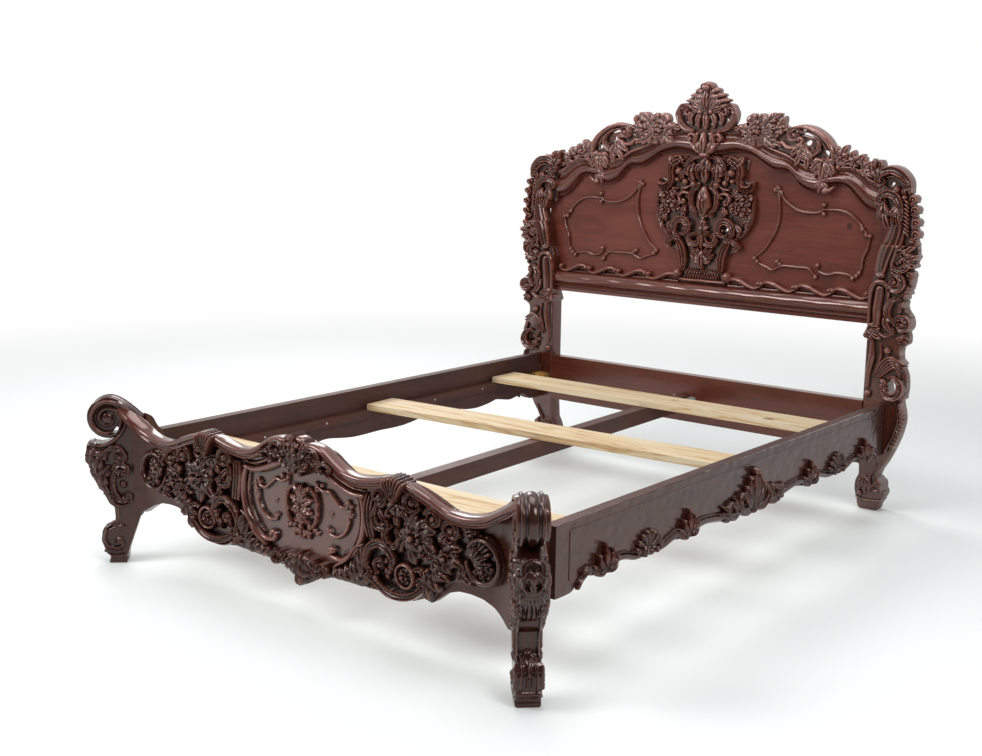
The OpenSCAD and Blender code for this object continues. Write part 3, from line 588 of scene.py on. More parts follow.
    def leaf(self, spine, width, height, lobes=4, base=0):
        """An acanthus leaf: with a = distance off the spine over the half width, pointed lobes are a wave in
        lobes x t - 0.75a, so they sweep to the tip. Each lobe is a ridge, the gaps between them deepen
        outward as veins, the spine is a groove, and the leaf rises to a tip that bows down again."""
        path = smooth(spine) if len(spine) > 2 else np.asarray(spine, float)
        at = self.window(path, width * 0.6 + 6)
        t, off = follow(path, self.u[at], self.w[at])
        full = width * 0.56 * np.clip(np.minimum(0.45 + 1.6 * t, 1.25 * (1 - t) ** 0.62), 0.04, 1)
        a = np.clip(np.abs(off) / full, 0, 1.3)
        lobe = np.abs(np.sin(np.pi * (lobes * t - 0.75 * a + 0.35)))
        half = full * (0.66 + 0.34 * lobe**0.8)
        inside = np.where((t <= 0) | (t >= 1), np.minimum(half, full * 0.4), half) - np.abs(off)
        vein = 1 - 0.52 * np.clip(a * 1.3, 0, 1) * (1 - lobe) ** 1.3
        groove = 1 - 0.34 * np.exp(-((off / (0.07 * width)) ** 2))
        rise = vein * groove * np.clip(1 - (off / half) ** 4, 0,
            1) ** 0.5 * (0.5 + 0.5 * np.sin(np.pi * (0.08 + 0.8 * t)))
        self.lay(at, inside, base + height * rise)

    def spray(self, root, tips, width, height, lobes=3, base=0):
        """Leaves from one root to several tips, each bowed away from the middle of the spray."""
        ways = np.subtract(tips, root)
        middle = ways.mean(0)
        for way in ways:
            sine = (middle[0] * way[1] - middle[1] * way[0]) / np.hypot(*middle) / np.hypot(*way)
            bow = np.clip(sine, -1, 1) * 0.22
            self.leaf([root, root + way * 0.5 + bow * np.array([-way[1], way[0]]), root + way], width,
                height, lobes, base)

    def flower(self, centre, radius, height, petals=5, turn=0, base=0):
        """A rose: two rounds of petals, the inner one turned half a step. With wave = |cos(petals/2 x
        angle)| a petal reaches furthest where wave is 1, cups upward from the heart to its rim, dips along
        its own middle and drops away in the deep gap beside it. A ball is the heart."""
        at = self.window([centre], radius + 6)
        x, y = self.u[at] - centre[0], self.w[at] - centre[1]
        d, angle = np.hypot(x, y), np.arctan2(y, x) - np.radians(turn)
        heart = radius * 0.2
        top, edge = np.zeros_like(d), np.full_like(d, -9.0)
        for reach, low, wave in ((1, 0.55, np.abs(np.cos(petals * angle / 2))),
                (0.58, 0.9, np.abs(np.sin(petals * angle / 2)))):
            rim = radius * reach * (0.7 + 0.3 * wave**0.4)
            k = np.clip(d / rim, 0, 1)
            gap, dip = np.clip(wave * 2.4, 0.12, 1) ** 0.7, 1 - 0.22 * wave**6 * k
            petal = low * (0.5 + 0.5 * k**1.5) * (1 - k**9) ** 0.5 * gap * dip
            top, edge = np.maximum(top, petal), np.maximum(edge, rim - d)
        ball = np.where(d < heart, 0.72 + 0.28 * np.sqrt(np.clip(1 - (d / heart) ** 2, 0, 1)), 0)
        self.lay(at, edge, base + height * np.maximum(top * np.clip(d / heart - 0.6, 0.3, 1), ball))

    def fan(self, hinge, radius, a0, a1, height, flutes=7, base=0):
        """A fluted shell: rays spread from a hinge between two angles, scalloped and highest at the rim."""
        at = self.window([hinge], radius + 8)
        x, y = self.u[at] - hinge[0], self.w[at] - hinge[1]
        d, half = np.hypot(x, y), np.radians(a1 - a0) / 2
        angle = (np.arctan2(y, x) - np.radians((a0 + a1) / 2) + np.pi) % (2 * np.pi) - np.pi
        ray = np.abs(np.cos(np.pi * (flutes * (angle + half) / (2 * half) + 0.5)))
        rim = radius * (0.86 + 0.14 * ray**0.6)
        k = np.clip(d / rim, 0, 1)
        rise = (0.45 + 0.55 * ray) * (0.35 + 0.65 * k) * np.sqrt(1 - k**8)
        self.lay(at, np.minimum(rim - d, (half - np.abs(angle)) * np.maximum(d, 1)), base + height * rise)

    def both_halves(self):
        """This carving and its mirror image in u = 0 as one."""
        whole = Carving(0, 0, 1, 1, self.step)
        whole.u = np.hstack([-self.u[:, :0:-1], self.u])
        halves = (self.w, self.inside, self.height)
        whole.w, whole.inside, whole.height = (np.hstack([a[:, :0:-1], a]) for a in halves)
        return whole


sample = Carving(-30, -30, 30, 30)
sample.flower((0, 0), 27, 20)
print("a rosette covers", int((sample.inside > 0).sum() * sample.step**2), "mm2")

# %% [markdown]
# ## From height field to solid wood
# The grid squares whose middle lies inside the outline become the front. Corners on the rim slide along
# the slope of the inside distance until they meet the outline, which turns a staircase into a clean saw
# cut. A back with the same squares and a wall round the rim close the solid. A place function then lays
# the grid in the room, flat on a board, on both faces of a leg, or bent along a leg's front.

# %% Turn carvings and grids into meshes
MM = 0.001
SIDES = ("right", "left")


def blurred(field, rounds):
    """Each point averaged with its four neighbours, again and again."""
    for _ in range(rounds):
        field = (field + np.roll(field, 1, 0) + np.roll(field, -1, 0) + np.roll(field, 1,
            1) + np.roll(field, -1, 1)) / 5
    return field


def carved_mesh(carving, place, front, back=0.0):
    """Points, faces and hollowness of a carving. Front and back are distances off its ground plane, as
    numbers or functions of (u, w); the height is added to the front, and with no back it is carved alike."""
    c = carving
    keep = (c.inside[:-1, :-1] + c.inside[1:, :-1] + c.inside[:-1, 1:] + c.inside[1:, 1:]) > 0
    count = np.zeros(c.u.shape, int)
    for rows, cols in ((slice(None, -1), slice(None, -1)), (slice(1, None), slice(None, -1)),
                       (slice(None, -1), slice(1, None)), (slice(1, None), slice(1, None))):
        count[rows, cols] += keep
    used, rim = count > 0, (count > 0) & (count < 4)
    slope_w, slope_u = np.gradient(np.clip(c.inside, -3 * c.step, 3 * c.step), c.step)
    pull = np.where(rim, np.clip(c.inside, -c.step, c.step) / np.maximum(slope_u**2 + slope_w**2, 0.25), 0)
    u, w = c.u - pull * slope_u, c.w - pull * slope_w
    # the hollowness worked out here drives the painted shade in the recesses and the painted highlight on the ridges of
    # the carved finishes
    wide = blurred(np.where(c.inside > 0, c.height, 0), 6)
    wider = blurred(wide, 40)
    height = np.where(rim, np.minimum(c.height, wide) * 0.6, c.height)
    hollow = np.clip(0.5 + (wide - height) / 11 + (wider - height) / 40, 0, 1)
    hollow[rim] = 0.45
    depth = [f(u, w) if callable(f) else np.full(u.shape, float(f or 0)) for f in (front, back)]
    if back is None:
        depth[1] = -depth[0] - height
    n = int(used.sum())
    number = np.full(c.u.shape, -1)
    number[used] = np.arange(n)
    points = np.vstack([place(u[used], w[used], depth[0][used] + height[used]),
        place(u[used], w[used], depth[1][used])])
    square = np.stack([number[:-1, :-1], number[:-1, 1:], number[1:, 1:], number[1:, :-1]], -1)
    top = square[keep]
    padded = np.pad(keep, 1)
    walls = []
    for shift, (a, b) in (((-1, 0), (0, 1)), ((0, 1), (1, 2)), ((1, 0), (2, 3)), ((0, -1), (3, 0))):
        beside = padded[1 + shift[0]:padded.shape[0] - 1 + shift[0], 1 + shift[1]:padded.shape[1] - 1 + shift[1]]
        edge = square[keep & ~beside]
        walls.append(np.column_stack([edge[:, b], edge[:, a], edge[:, a] + n, edge[:, b] + n]))
    behind = hollow[used] if back is None else np.full(n, 0.45)
    return points, np.vstack([top, top[:, ::-1] + n] + walls), np.concatenate([hollow[used], behind])


def swept_mesh(sections):
    """Points and faces of a bar from an array of closed sections (many, points each, 3), its ends closed."""
    many, each, _ = sections.shape
    index = np.arange(many * each).reshape(many, each)
    a, b = index[:-1], index[1:]
    sides = np.stack([a, np.roll(a, -1, 1), np.roll(b, -1, 1), b], -1).reshape(-1, 4)
    ends = np.vstack([sections[0].mean(0), sections[-1].mean(0)])
    caps = [np.column_stack([np.full(each, many * each + k), *(np.roll(row, -s) for s in turn)]) for k, row,
        turn in ((0, index[0], (1, 0)), (1, index[-1], (0, 1)))]
    return np.vstack([sections.reshape(-1, 3), ends]), [*sides.tolist(), *np.vstack(caps).tolist()]


def make_piece(name, mesh_data, material, side="", sharp=50):
    """A mesh object from points and faces, turned outward if its signed volume is negative, mirrored in x
    if it is the left one, shaded smooth with sharp edges, and standing for the solid of its name."""
    name += f"_{side}" if side else ""
    points, faces, *rest = mesh_data
    faces = faces.tolist() if isinstance(faces, np.ndarray) else faces
    points = np.asarray(points) * ((-1, 1, 1) if side == "left" else (1, 1, 1))
    middle = points.mean(0)
    volume = 0.0
    every = np.array([f if len(f) == 4 else [*f, f[0]] for f in faces])
    p = points[every] - middle
    for i, j in ((1, 2), (2, 3)):
        volume += np.einsum("ij,ij->i", p[:, 0], np.cross(p[:, i], p[:, j])).sum() / 6
    if volume < 0:
        faces = [f[::-1] for f in faces]
    replaced = name in frame["nodes"]
    shown = name + "_carved" * replaced
    mesh = bpy.data.meshes.new(shown)
    mesh.from_pydata(points, [], faces)
    if rest:
        mesh.attributes.new("hollow", "FLOAT", "POINT").data.foreach_set("value", rest[0].astype(np.float32))
    mesh.shade_smooth()
    mesh.set_sharp_from_angle(angle=math.radians(sharp))
    mesh.materials.append(material)
    piece = bpy.data.objects.new(shown, mesh)
    bpy.context.scene.collection.objects.link(piece)
    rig.ride(piece, "bed_frame")
    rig.slot(piece, "mahogany")
    if replaced:
        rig.replaces(piece, name)
    print(f"{shown}: {len(faces)} faces, {abs(volume) * 1e6:.0f} cm3")


def on_board(y):
    """Lay a carving upright across the bed: u to x, w to z, and out of the board toward the foot end."""
    return lambda u, w, out: np.column_stack([u, y - out, w]) * MM


def carve(name, carving, y, front, back=0.0, wood=carved_wood):
    """One piece in the middle, drawn as a right half."""
    make_piece(name, carved_mesh(carving.both_halves(), on_board(y), front, back), wood)


def carve_pair(name, carving, y, front, back=0.0, wood=carved_wood):
    """A right piece and its mirror image."""
    data = carved_mesh(carving, on_board(y), front, back)
    for side in SIDES:
        make_piece(name, data, wood, side)


test_piece = carved_mesh(sample, on_board(0), 5)
print("the rosette as a solid has", len(test_piece[0]), "points and", len(test_piece[1]), "faces")

# %% [markdown]
# ## Headboard posts
# Each post is one plank, sawn to its outline and carved from the front. Inside runs a stile panel with a
# rounded top on a collar of leaves, outside climb three pierced volutes, and below the collar leaves like
# hair sweep over a C scroll onto a raked cabriole leg. The front leans back toward the floor, and the outer
# edge is thinned from behind, so front and back are functions of the place on the plank.

# %% Carve the two posts
POST_OUT = [[886, 1000], [889, 955], [872, 925], [856, 900], [874, 878], [875, 855], [858, 825], [850, 795],
    [858, 768], [880, 745], [884, 722], [872, 694], [877, 672], [874, 648], [850, 630], [847, 600], [858, 565],
    [876, 530], [881, 490], [876, 455], [864, 432], [876, 395], [879, 358], [866, 305], [846, 258], [816, 198],
    [795, 163], [785, 139]]
HEAD_FOOT = [[785, 139], [788, 122], [806, 96], [815, 76], [803, 48], [790, 22], [777, 0], [716, 0], [706, 40],
    [701, 75], [705, 110], [718, 140]]
POST_BACK, PANEL_Y0 = 1143.66, 1123.66


def column(c):
    """The leaning S-shaped shaft that runs from the post up into the shoulder: a thick roll with a raised
    line down its middle, and a thinner roll beside it."""
    c.stroke([(806, 1118), (802, 1070), (790, 1020), (770, 960), (756, 900)], [30, 50, 58, 54, 40], 27, 3, "hollow")
    c.stroke([(806, 1110), (800, 1064), (788, 1016), (769, 962), (758, 912)], [8, 16, 20, 18, 10], 26, 3)
    c.stroke([(832, 1064), (824, 1020), (810, 970), (798, 930), (803, 900)], [10, 18, 22, 20, 12], 21, 4)


c = Carving(694, -2, 900, 1002, 2.0)
outline = np.vstack([smooth(POST_OUT, 6), smooth(HEAD_FOOT, 6), [(718, 850), (732, 893), (750, 990), (753, 1000)]])
outline[:, 1] = np.maximum(outline[:, 1], 0)
c.plate(outline, 3, 8)
column(c)
c.ball((764, 890), 14, 18, 5)
c.ball((744, 898), 10, 14, 4)
# inner stile: a long panel with a rounded top, standing on a collar of leaves
c.stroke([(726, 694), (724, 770), (727, 832), (744, 862), (772, 862), (792, 838), (792, 790)],
    [12, 15, 18, 24, 24, 20, 10], 21, 3)
c.stroke([(754, 686), (753, 760), (758, 838)], [30, 40, 36], 19, 3)
c.spray((720, 688), [(748, 648), (778, 658), (772, 696)], 38, 24, 2, 5)
c.scroll([(768, 680), (792, 670), (818, 684)], (None, (9, 260, 1)), [10, 17, 12], 17, 4)
c.leaf([(784, 748), (792, 714), (814, 684)], 34, 18, 1, 5)
# three volutes up the outer side, each with its leaves
c.volute((852, 717), (29, 11, 175, -200, 44), [14, 22, 29, 27, 14], 28, 4)
c.ball((853, 717), 10, 23, 5)
c.spray((846, 676), [(876, 664), (872, 648), (850, 646)], 22, 16, 2, 4)
c.stroke([(840, 808), (812, 802), (794, 772), (800, 738), (820, 720)], [8, 24, 30, 24, 10], 24, 4, "hollow")
c.leaf([(852, 800), (838, 776), (842, 752)], 22, 13, 2, 4)
c.volute((816, 864), (34, 12, 130, -240, 46), [10, 25, 34, 30, 14], 28, 4)
c.ball((815, 866), 11, 22, 5)
c.leaf([(846, 904), (870, 896), (874, 860)], 26, 15, 2, 4)
c.spray((850, 850), [(874, 846), (870, 826), (858, 808)], 18, 13, 1, 4)
c.volute((833, 944), (37, 13, 195, 560, 50), [12, 22, 31, 31, 16], 29, 4)
c.ball((833, 944), 11, 24, 5)
c.spray((846, 950), [(890, 930), (896, 966), (880, 1002)], 42, 24, 2, 8)
c.spray((808, 984), [(818, 1018), (850, 1010)], 30, 22, 2, 6)
# below the collar: a ball on its stalk, and leaves like hair that sweep over a C scroll
c.stroke([(744, 646), (746, 590), (736, 530), (736, 478)], [18, 28, 24, 14], 18, 3)
c.stroke([(774, 640), (780, 600), (770, 560), (756, 520)], [8, 14, 14, 8], 13, 3)
c.ball((803, 616), 14, 22, 4)
c.stroke([(804, 606), (812, 588), (800, 572)], [10, 8, 5], 12, 3)
for strand in range(5):
    bend = strand * 9
    c.stroke([(764 + bend * 0.5, 516), (780 + bend, 566 - bend * 0.5), (818 + bend * 0.6, 594 - bend),
        (866 - bend * 0.3, 572 - bend * 1.3)], [5, 13, 14, 6], 18, 3)
c.volute((826, 482), (39, 32, 100, -175, 44), [10, 24, 33, 33, 26, 12], 28, 3)
c.spray((806, 484), [(782, 512), (774, 486), (784, 458)], 24, 18, 1, 4)
c.ball((738, 450), 14, 16, 3)
c.ball((866, 452), 12, 16, 3)
c.stroke([(796, 440), (830, 437), (864, 444)], [10, 13, 12], 13, 3)
c.cut([(812, 512), (828, 512), (840, 494), (838, 468), (824, 456), (812, 466), (808, 486)])
c.drill((840, 968, 6), (796, 838, 5))
# outer edge of the knee, carved like a row of small leaves, and the scroll foot
for z in range(266, 432, 14):
    x = np.interp(z, [246, 258, 305, 358, 395, 432], [838, 846, 866, 879, 876, 864]) - 9
    c.leaf([(x - 7, z + 8), (x + 2, z + 2), (x + 6, z - 8)], 16, 12, 1, 3)
c.stroke([(844, 432), (856, 394), (856, 350), (840, 296), (816, 240)], [6, 8, 8, 6], 8, 3)
c.scroll([(790, 190), (776, 160), (764, 130), (772, 100)], (None, (18, 330, 1)), [8, 12, 16, 13], 13, 3)
c.spray((742, 140), [(722, 74), (744, 62), (764, 70)], 26, 12, 1, 3)
c.ball((724, 66), 11, 14, 3)
c.stroke([(708, 46), (750, 40), (800, 46)], [8, 11, 8], 8, 3)
c.leaf([(786, 132), (800, 104), (806, 76)], 24, 11, 2, 3)

post_front = lambda u, w: 59 - np.interp(w, [0, 50, 110, 190], [36, 22, 8, 0])
post_back = lambda u, w: np.clip((u - 826) * 35 / 74, 0, 60) - np.interp(w, [0, 50, 120, 210], [25, 19, 8, 0])
carve_pair("head_post", c, POST_BACK, post_front, post_back)


# %% [markdown]
# ## Shoulders
# On top of each post the shaft ends under two hoods, thick smooth rolls with a curl inside, and a horn of
# leaves stands on the upper one. A short twisted column and a string of leafy curls with balls run down the
# outside. The shaft is drawn by the same function as on the post, so the two parts meet in one line.

# %% Carve the two shoulders
SHOULDER = [[753, 1000], [768, 1040], [762, 1078], [740, 1092], [718, 1094], [718, 1216], [706, 1232], [699, 1293],
    [726, 1297], [738, 1270], [786, 1254], [818, 1230], [836, 1198], [848, 1176], [860, 1130], [868, 1080],
    [872, 1040], [874, 1000], [753, 1000]]
c = Carving(690, 998, 905, 1306, 2.0)
c.plate(smooth(SHOULDER, 4), 3, 8)
column(c)
# the horn on top, and the hood: a thick smooth roll with a curl under its end
c.spray((724, 1232), [(698, 1304), (730, 1300)], 36, 26, 2, 5)
c.scroll([(844, 1190), (836, 1226), (808, 1254), (772, 1266), (740, 1256), (722, 1232)], (None, (14, 290, 1)),
    [16, 28, 36, 33, 24, 16], 32, 4)
c.stroke([(832, 1200), (808, 1230), (778, 1243), (752, 1238)], [6, 11, 11, 6], 19, 5)
c.ball((792, 1196), 16, 24, 4)
c.spray((820, 1206), [(850, 1222), (850, 1192), (830, 1174)], 22, 18, 1, 5)
c.spray((730, 1200), [(752, 1180), (774, 1190)], 24, 17, 2, 5)
# the second hood, rolling into the shaft, with leaves that hang from it
c.scroll([(818, 1098), (812, 1140), (794, 1172), (762, 1182), (734, 1166)], (None, (13, 290, 1)),
    [14, 28, 34, 30, 16], 31, 4)
c.leaf([(748, 1152), (756, 1108), (776, 1046)], 46, 28, 2, 6)
c.spray((792, 1140), [(790, 1064), (814, 1056)], 36, 27, 2, 6)
# a twisted column beside it, and the string of leafy beads down the outside
for turn in range(9):
    z = 1158 - 14 * turn
    c.stroke([(818 + turn, z + 5), (831 + turn * 0.8, z - 1), (840 + turn * 0.7, z - 10)], [7, 13, 9], 19, 4, n=4)
c.ball((824, 1170), 11, 22, 5)
for x, z in ((858, 1164), (868, 1126), (874, 1082), (876, 1040)):
    c.volute((x, z), (14, 7, 200, -120, 22), [7, 13, 13, 8], 22, 3, "round")
    c.ball((x, z), 8, 24, 4)
    c.spray((x - 12, z - 8), [(x + 14, z - 10), (x + 4, z - 24)], 17, 20, 1, 3)
c.leaf([(846, 1022), (866, 1016), (886, 1002)], 26, 16, 2, 4)
c.drill((772, 1216, 9))
c.cut([(850, 1112), (854, 1096), (855, 1060), (850, 1050), (848, 1080)])
carve_pair("head_shoulder", c, PANEL_Y0 - 8, 18)

# a thin web of panel wood closes the corner between the panel's end and the shaft
c = Carving(712, 990, 780, 1100, 4.0)
c.plate([(714, 992), (758, 992), (772, 1040), (766, 1084), (740, 1098), (714, 1098)], 1, 3)
carve_pair("shoulder_web", c, PANEL_Y0, 1, -10, panel_wood)


# %% [markdown]
# ## Arch moulding
# The arch is a thick strip whose two edges follow different curves, so one profile cannot simply be
# extruded. Each section is stretched between the lower and the upper curve instead: a thin bead, a quirk, a
# broad round back, a hollow and a lip, written as shares of the strip's breadth and distances off the panel.

# %% Shape the arch
ARCH_LOW = [[0, 1295], [60, 1302], [135, 1314], [205, 1300], [245, 1277], [300, 1248], [352, 1245], [380, 1226],
    [412, 1190], [455, 1170], [492, 1173], [508, 1196], [536, 1200], [572, 1204], [604, 1190], [640, 1151],
    [678, 1118], [718, 1106]]
ARCH_UP = [[0, 1388], [70, 1386], [135, 1382], [190, 1366], [245, 1338], [300, 1316], [352, 1298], [400, 1272],
    [455, 1256], [508, 1252], [560, 1260], [605, 1262], [645, 1248], [680, 1222], [718, 1205]]
ARCH_PROFILE = np.array([(0, 0), (0, 13), (0.01, 17), (0.035, 20), (0.06, 20), (0.085, 17), (0.1, 13), (0.12, 14),
    (0.16, 21), (0.21, 27), (0.28, 31.5), (0.36, 33.5), (0.45, 34), (0.54, 32.5), (0.61, 29.5), (0.67, 25.5),
    (0.72, 22), (0.77, 19.5), (0.82, 18.5), (0.87, 20), (0.91, 23), (0.95, 27), (1, 29), (1, 0)])

lower, upper = (evenly(smooth(line, 12), 220) for line in (ARCH_LOW, ARCH_UP))
across = lower[:, None] * (1 - ARCH_PROFILE[None, :, :1]) + upper[:, None] * ARCH_PROFILE[None, :, :1]
arch = np.dstack([across[..., 0], PANEL_Y0 - np.broadcast_to(ARCH_PROFILE[:, 1], across.shape[:2]),
    across[..., 1]]) * MM
for side in ("left", "right"):
    make_piece("head_arch", swept_mesh(arch), moulded_wood, side, sharp=40)


# %% [markdown]
# ## Borders on the arch
# Two pierced garlands stand on the arch: a great rose with three balls before leaves that flare out, a
# volute and a smooth hood over open holes, and small roses that thin out toward the shoulder. Below each, a
# curl of its own hangs over the turn of the moulding. Wide leaves are laid first and the roses over them,
# because the highest ornament wins.

# %% Carve the borders and the curls below them
c = Carving(92, 1200, 722, 1472, 2.0)
up = smooth(ARCH_UP, 6)
up = up[up[:, 0] > 112]
top = [(718, 1216), (706, 1232), (690, 1258), (668, 1280), (645, 1296), (618, 1308), (590, 1316), (566, 1322),
    (540, 1330), (512, 1352), (470, 1372), (430, 1380), (395, 1388), (368, 1384), (350, 1372), (330, 1396),
    (300, 1416), (240, 1424), (180, 1424), (140, 1414), (112, 1416)]
c.plate(np.vstack([top, [(96, 1392), (96, 1378)], up]), 2, 6)
c.stroke(smooth(np.array(ARCH_UP)[3:] + [0, 6], 4), 13, 12, 3, n=1)
# a great rose and the leaves that flare out behind it
c.spray((240, 1388), [(318, 1460), (354, 1408), (326, 1346)], 62, 22, 4, 4)
c.spray((200, 1384), [(116, 1402), (146, 1346)], 58, 21, 4, 4)
c.flower((218, 1398), 68, 28, 6, 0, 5)
c.flower((218, 1394), 42, 33, 5, 22, 8)
c.balls([(206, 1388), (231, 1389), (218, 1409)], 10, 38, 7)
c.flower((290, 1392), 28, 29, 5, 30, 8)
c.leaf([(300, 1404), (324, 1422), (334, 1452)], 34, 22, 2, 6)
# volute and hood: a thick smooth roll that bends over open holes, with a curl hanging inside
c.volute((378, 1382), (26, 11, 20, 400, 44), [10, 16, 20, 18, 12], 22, 6)
c.ball((378, 1382), 10, 24, 6)
c.scroll([(372, 1410), (416, 1412), (462, 1398), (506, 1368), (534, 1330), (540, 1296)], (None, (16, 250, -1)),
    [10, 20, 27, 28, 26, 20, 14], 26, 6, "round")
c.stroke([(392, 1398), (440, 1390), (484, 1364), (510, 1330)], [6, 10, 12, 8], 15, 5)
c.scroll([(462, 1376), (478, 1356), (478, 1330), (462, 1314)], (None, (13, 280, -1)), [8, 16, 20, 14], 22, 6)
c.scroll([(330, 1352), (352, 1336), (388, 1336), (408, 1354)], ((10, 230, 1), (12, 260, 1)), [12, 18, 18, 12],
    20, 6, "round")
c.scroll([(400, 1326), (416, 1300), (440, 1286), (470, 1280)], ((13, 250, -1), None), [12, 20, 20, 12], 21, 6)
c.spray((424, 1336), [(366, 1304), (386, 1268), (430, 1252)], 46, 23, 2, 6)
c.spray((502, 1292), [(458, 1246), (496, 1218), (546, 1240)], 46, 24, 2, 10)
c.ball((498, 1290), 10, 26, 8)
c.balls([(524, 1272), (540, 1264), (560, 1268)], 10, 20, 8)
# small roses and thorny leaves that thin out toward the shoulder
c.spray((566, 1300), [(546, 1346), (590, 1350), (608, 1290), (564, 1268)], 40, 21, 2, 4)
c.flower((570, 1304), 25, 25, 5, 0, 6)
c.spray((622, 1288), [(616, 1332), (656, 1318), (622, 1256)], 38, 21, 2, 4)
c.flower((622, 1290), 20, 24, 5, 40, 6)
c.spray((658, 1268), [(664, 1308), (692, 1288), (706, 1240), (668, 1240)], 34, 18, 2, 4)
c.drill((430, 1354, 14), (506, 1320, 12), (346, 1372, 7), (594, 1300, 4), (148, 1392, 6), (448, 1330, 7),
    (644, 1278, 5))
carve_pair("head_border", c, PANEL_Y0, 14, wood=painted_lit_crest_wood)

c = Carving(440, 1150, 580, 1290, 2.0)
c.stroke([(548, 1196), (530, 1184), (512, 1180)], [8, 16, 12], 14)
c.ball((512, 1180), 12, 18, 0)
c.spray((500, 1214), [(470, 1186), (486, 1168), (520, 1164)], 22, 12, 2, 0)
c.spray((504, 1262), [(468, 1232), (490, 1212), (518, 1210), (540, 1230)], 32, 13, 2, 0)
c.ball((504, 1256), 10, 17, 0)
carve_pair("arch_curl", c, PANEL_Y0 - 26, 0, -12, painted_lit_crest_wood)


# %% [markdown]
# ## Crest and clasp
# The crest is a palmette: a serrated leaf with a rolled tip between side leaves, with hanging leaves and
# small volutes below and a C scroll at each side. A tulip clasps the arch where its halves meet. Both are
# drawn as a right half and mirrored, which keeps them exactly even.

# %% Carve the crest and the clasp
c = Carving(0, 1372, 140, 1580, 2.0)
c.plate([(-30, 1376), (104, 1376), (108, 1404), (112, 1440), (104, 1474), (72, 1500), (44, 1530), (16, 1560),
    (-30, 1560)], 2, 6)
c.leaf([(0, 1452), (0, 1505), (0, 1576)], 216, 24, 6, 4)
for tip_x, tip_z in ((96, 1498), (78, 1520), (56, 1542), (32, 1560)):
    c.leaf([(4, 1466), (tip_x * 0.6, 1466 + (tip_z - 1466) * 0.45), (tip_x, tip_z)], 24, 24, 1, 5)
c.leaf([(0, 1462), (0, 1510), (0, 1566)], 34, 27, 1, 8)
c.volute((104, 1480), (17, 7, 250, -20, 30), [10, 15, 15, 9], 25, 5)
c.oval((0, 1558), 22, 15, 30, 12)
c.stroke([(0, 1574), (20, 1568), (26, 1554)], [14, 12, 6], 20, 14)
c.leaf([(12, 1470), (36, 1440), (34, 1402)], 28, 21, 1, 5)
c.leaf([(44, 1470), (70, 1448), (66, 1412)], 26, 20, 1, 5)
c.leaf([(0, 1470), (0, 1432), (0, 1394)], 32, 24, 1, 6)
c.volute((80, 1462), (13, 5, 90, -240, 24), [8, 11, 11, 7], 24, 5, "round")
c.ball((24, 1464), 11, 24, 12)
c.scroll([(58, 1392), (92, 1402), (116, 1426), (126, 1456), (116, 1482)], (None, (14, 260, 1)),
    [12, 20, 24, 22, 18, 12], 23, 7)
c.drill((17, 1418, 6), (52, 1424, 7), (88, 1434, 8))
carve("head_crest", c, PANEL_Y0 - 7, 12, wood=painted_lit_crest_wood)

c = Carving(0, 1284, 84, 1400, 2.0)
c.plate([(-20, 1300), (-20, 1384), (0, 1386), (28, 1384), (46, 1362), (40, 1330), (24, 1304), (0, 1297)], 3, 6)
c.spray((8, 1304), [(66, 1350), (52, 1378)], 24, 16, 2, 3)
c.leaf([(12, 1304), (38, 1342), (30, 1390)], 34, 20, 2, 6)
c.leaf([(0, 1300), (0, 1350), (0, 1392)], 36, 25, 1, 8)
c.scroll([(40, 1372), (60, 1380), (72, 1368)], (None, (9, 250, -1)), [8, 13, 10], 17, 4, "round")
c.oval((0, 1300), 20, 11, 22, 6)
carve("arch_clasp", c, PANEL_Y0 - 31, 2, wood=painted_lit_crest_wood)


# %% [markdown]
# ## Cartouche
# The pierced cartouche on the panel holds a ribbed bud between C scrolls, with posies at the sides, ring
# volutes under them, and a waisted stand on ball feet. From its top, fluted arms bend down and hook outward.
# In the end all heights grow by one factor, which deepens the relief without drawing it again.

# %% Carve the cartouche
c = Carving(0, 786, 232, 1300, 2.0)
outline = [[-40, 1290], [0, 1290], [60, 1286], [120, 1290], [188, 1282], [178, 1250], [160, 1226], [176, 1198],
    [206, 1206], [218, 1190], [196, 1166], [214, 1148], [222, 1118], [210, 1045], [185, 1003], [152, 968], [173, 944],
    [150, 926], [112, 915], [88, 890], [81, 862], [96, 838], [132, 834], [134, 812], [100, 800],
    [100, 790], [-40, 790]]
c.plate(outline, 2, 6)
# top: a hanging leaf between two arcs, and fluted arms that bend down and hook outward
c.leaf([(0, 1296), (0, 1250), (0, 1186)], 60, 20, 2, 6)
c.scroll([(20, 1290), (52, 1288), (78, 1266), (84, 1238)], (None, (13, 250, -1)), [12, 22, 22, 14], 17, 5)
c.leaf([(34, 1264), (38, 1236), (30, 1202)], 30, 16, 2, 4)
c.leaf([(100, 1262), (114, 1282), (128, 1298)], 32, 20, 1, 5)
c.leaf([(128, 1250), (150, 1272), (168, 1294)], 46, 20, 1, 5)
c.stroke([(62, 1288), (108, 1284), (144, 1266), (157, 1234), (152, 1204), (170, 1172), (203, 1172), (217, 1200)],
    [8, 26, 46, 34, 28, 30, 24, 8], 24, 6, "reeded")
c.stroke([(160, 1192), (180, 1180), (202, 1184), (210, 1200)], [6, 12, 12, 5], 28, 6)
c.leaf([(54, 1266), (66, 1232), (52, 1184)], 44, 20, 1, 6)
c.ball((118, 1232), 17, 24, 6)
c.leaf([(96, 1240), (102, 1214), (92, 1190)], 26, 18, 1, 5)
c.ball((124, 1200), 11, 20, 6)
c.ball((52, 1182), 16, 20, 6)
c.ball((90, 1192), 13, 18, 6)
c.stroke([(66, 1178), (84, 1168), (110, 1166)], [8, 14, 8], 14, 5)
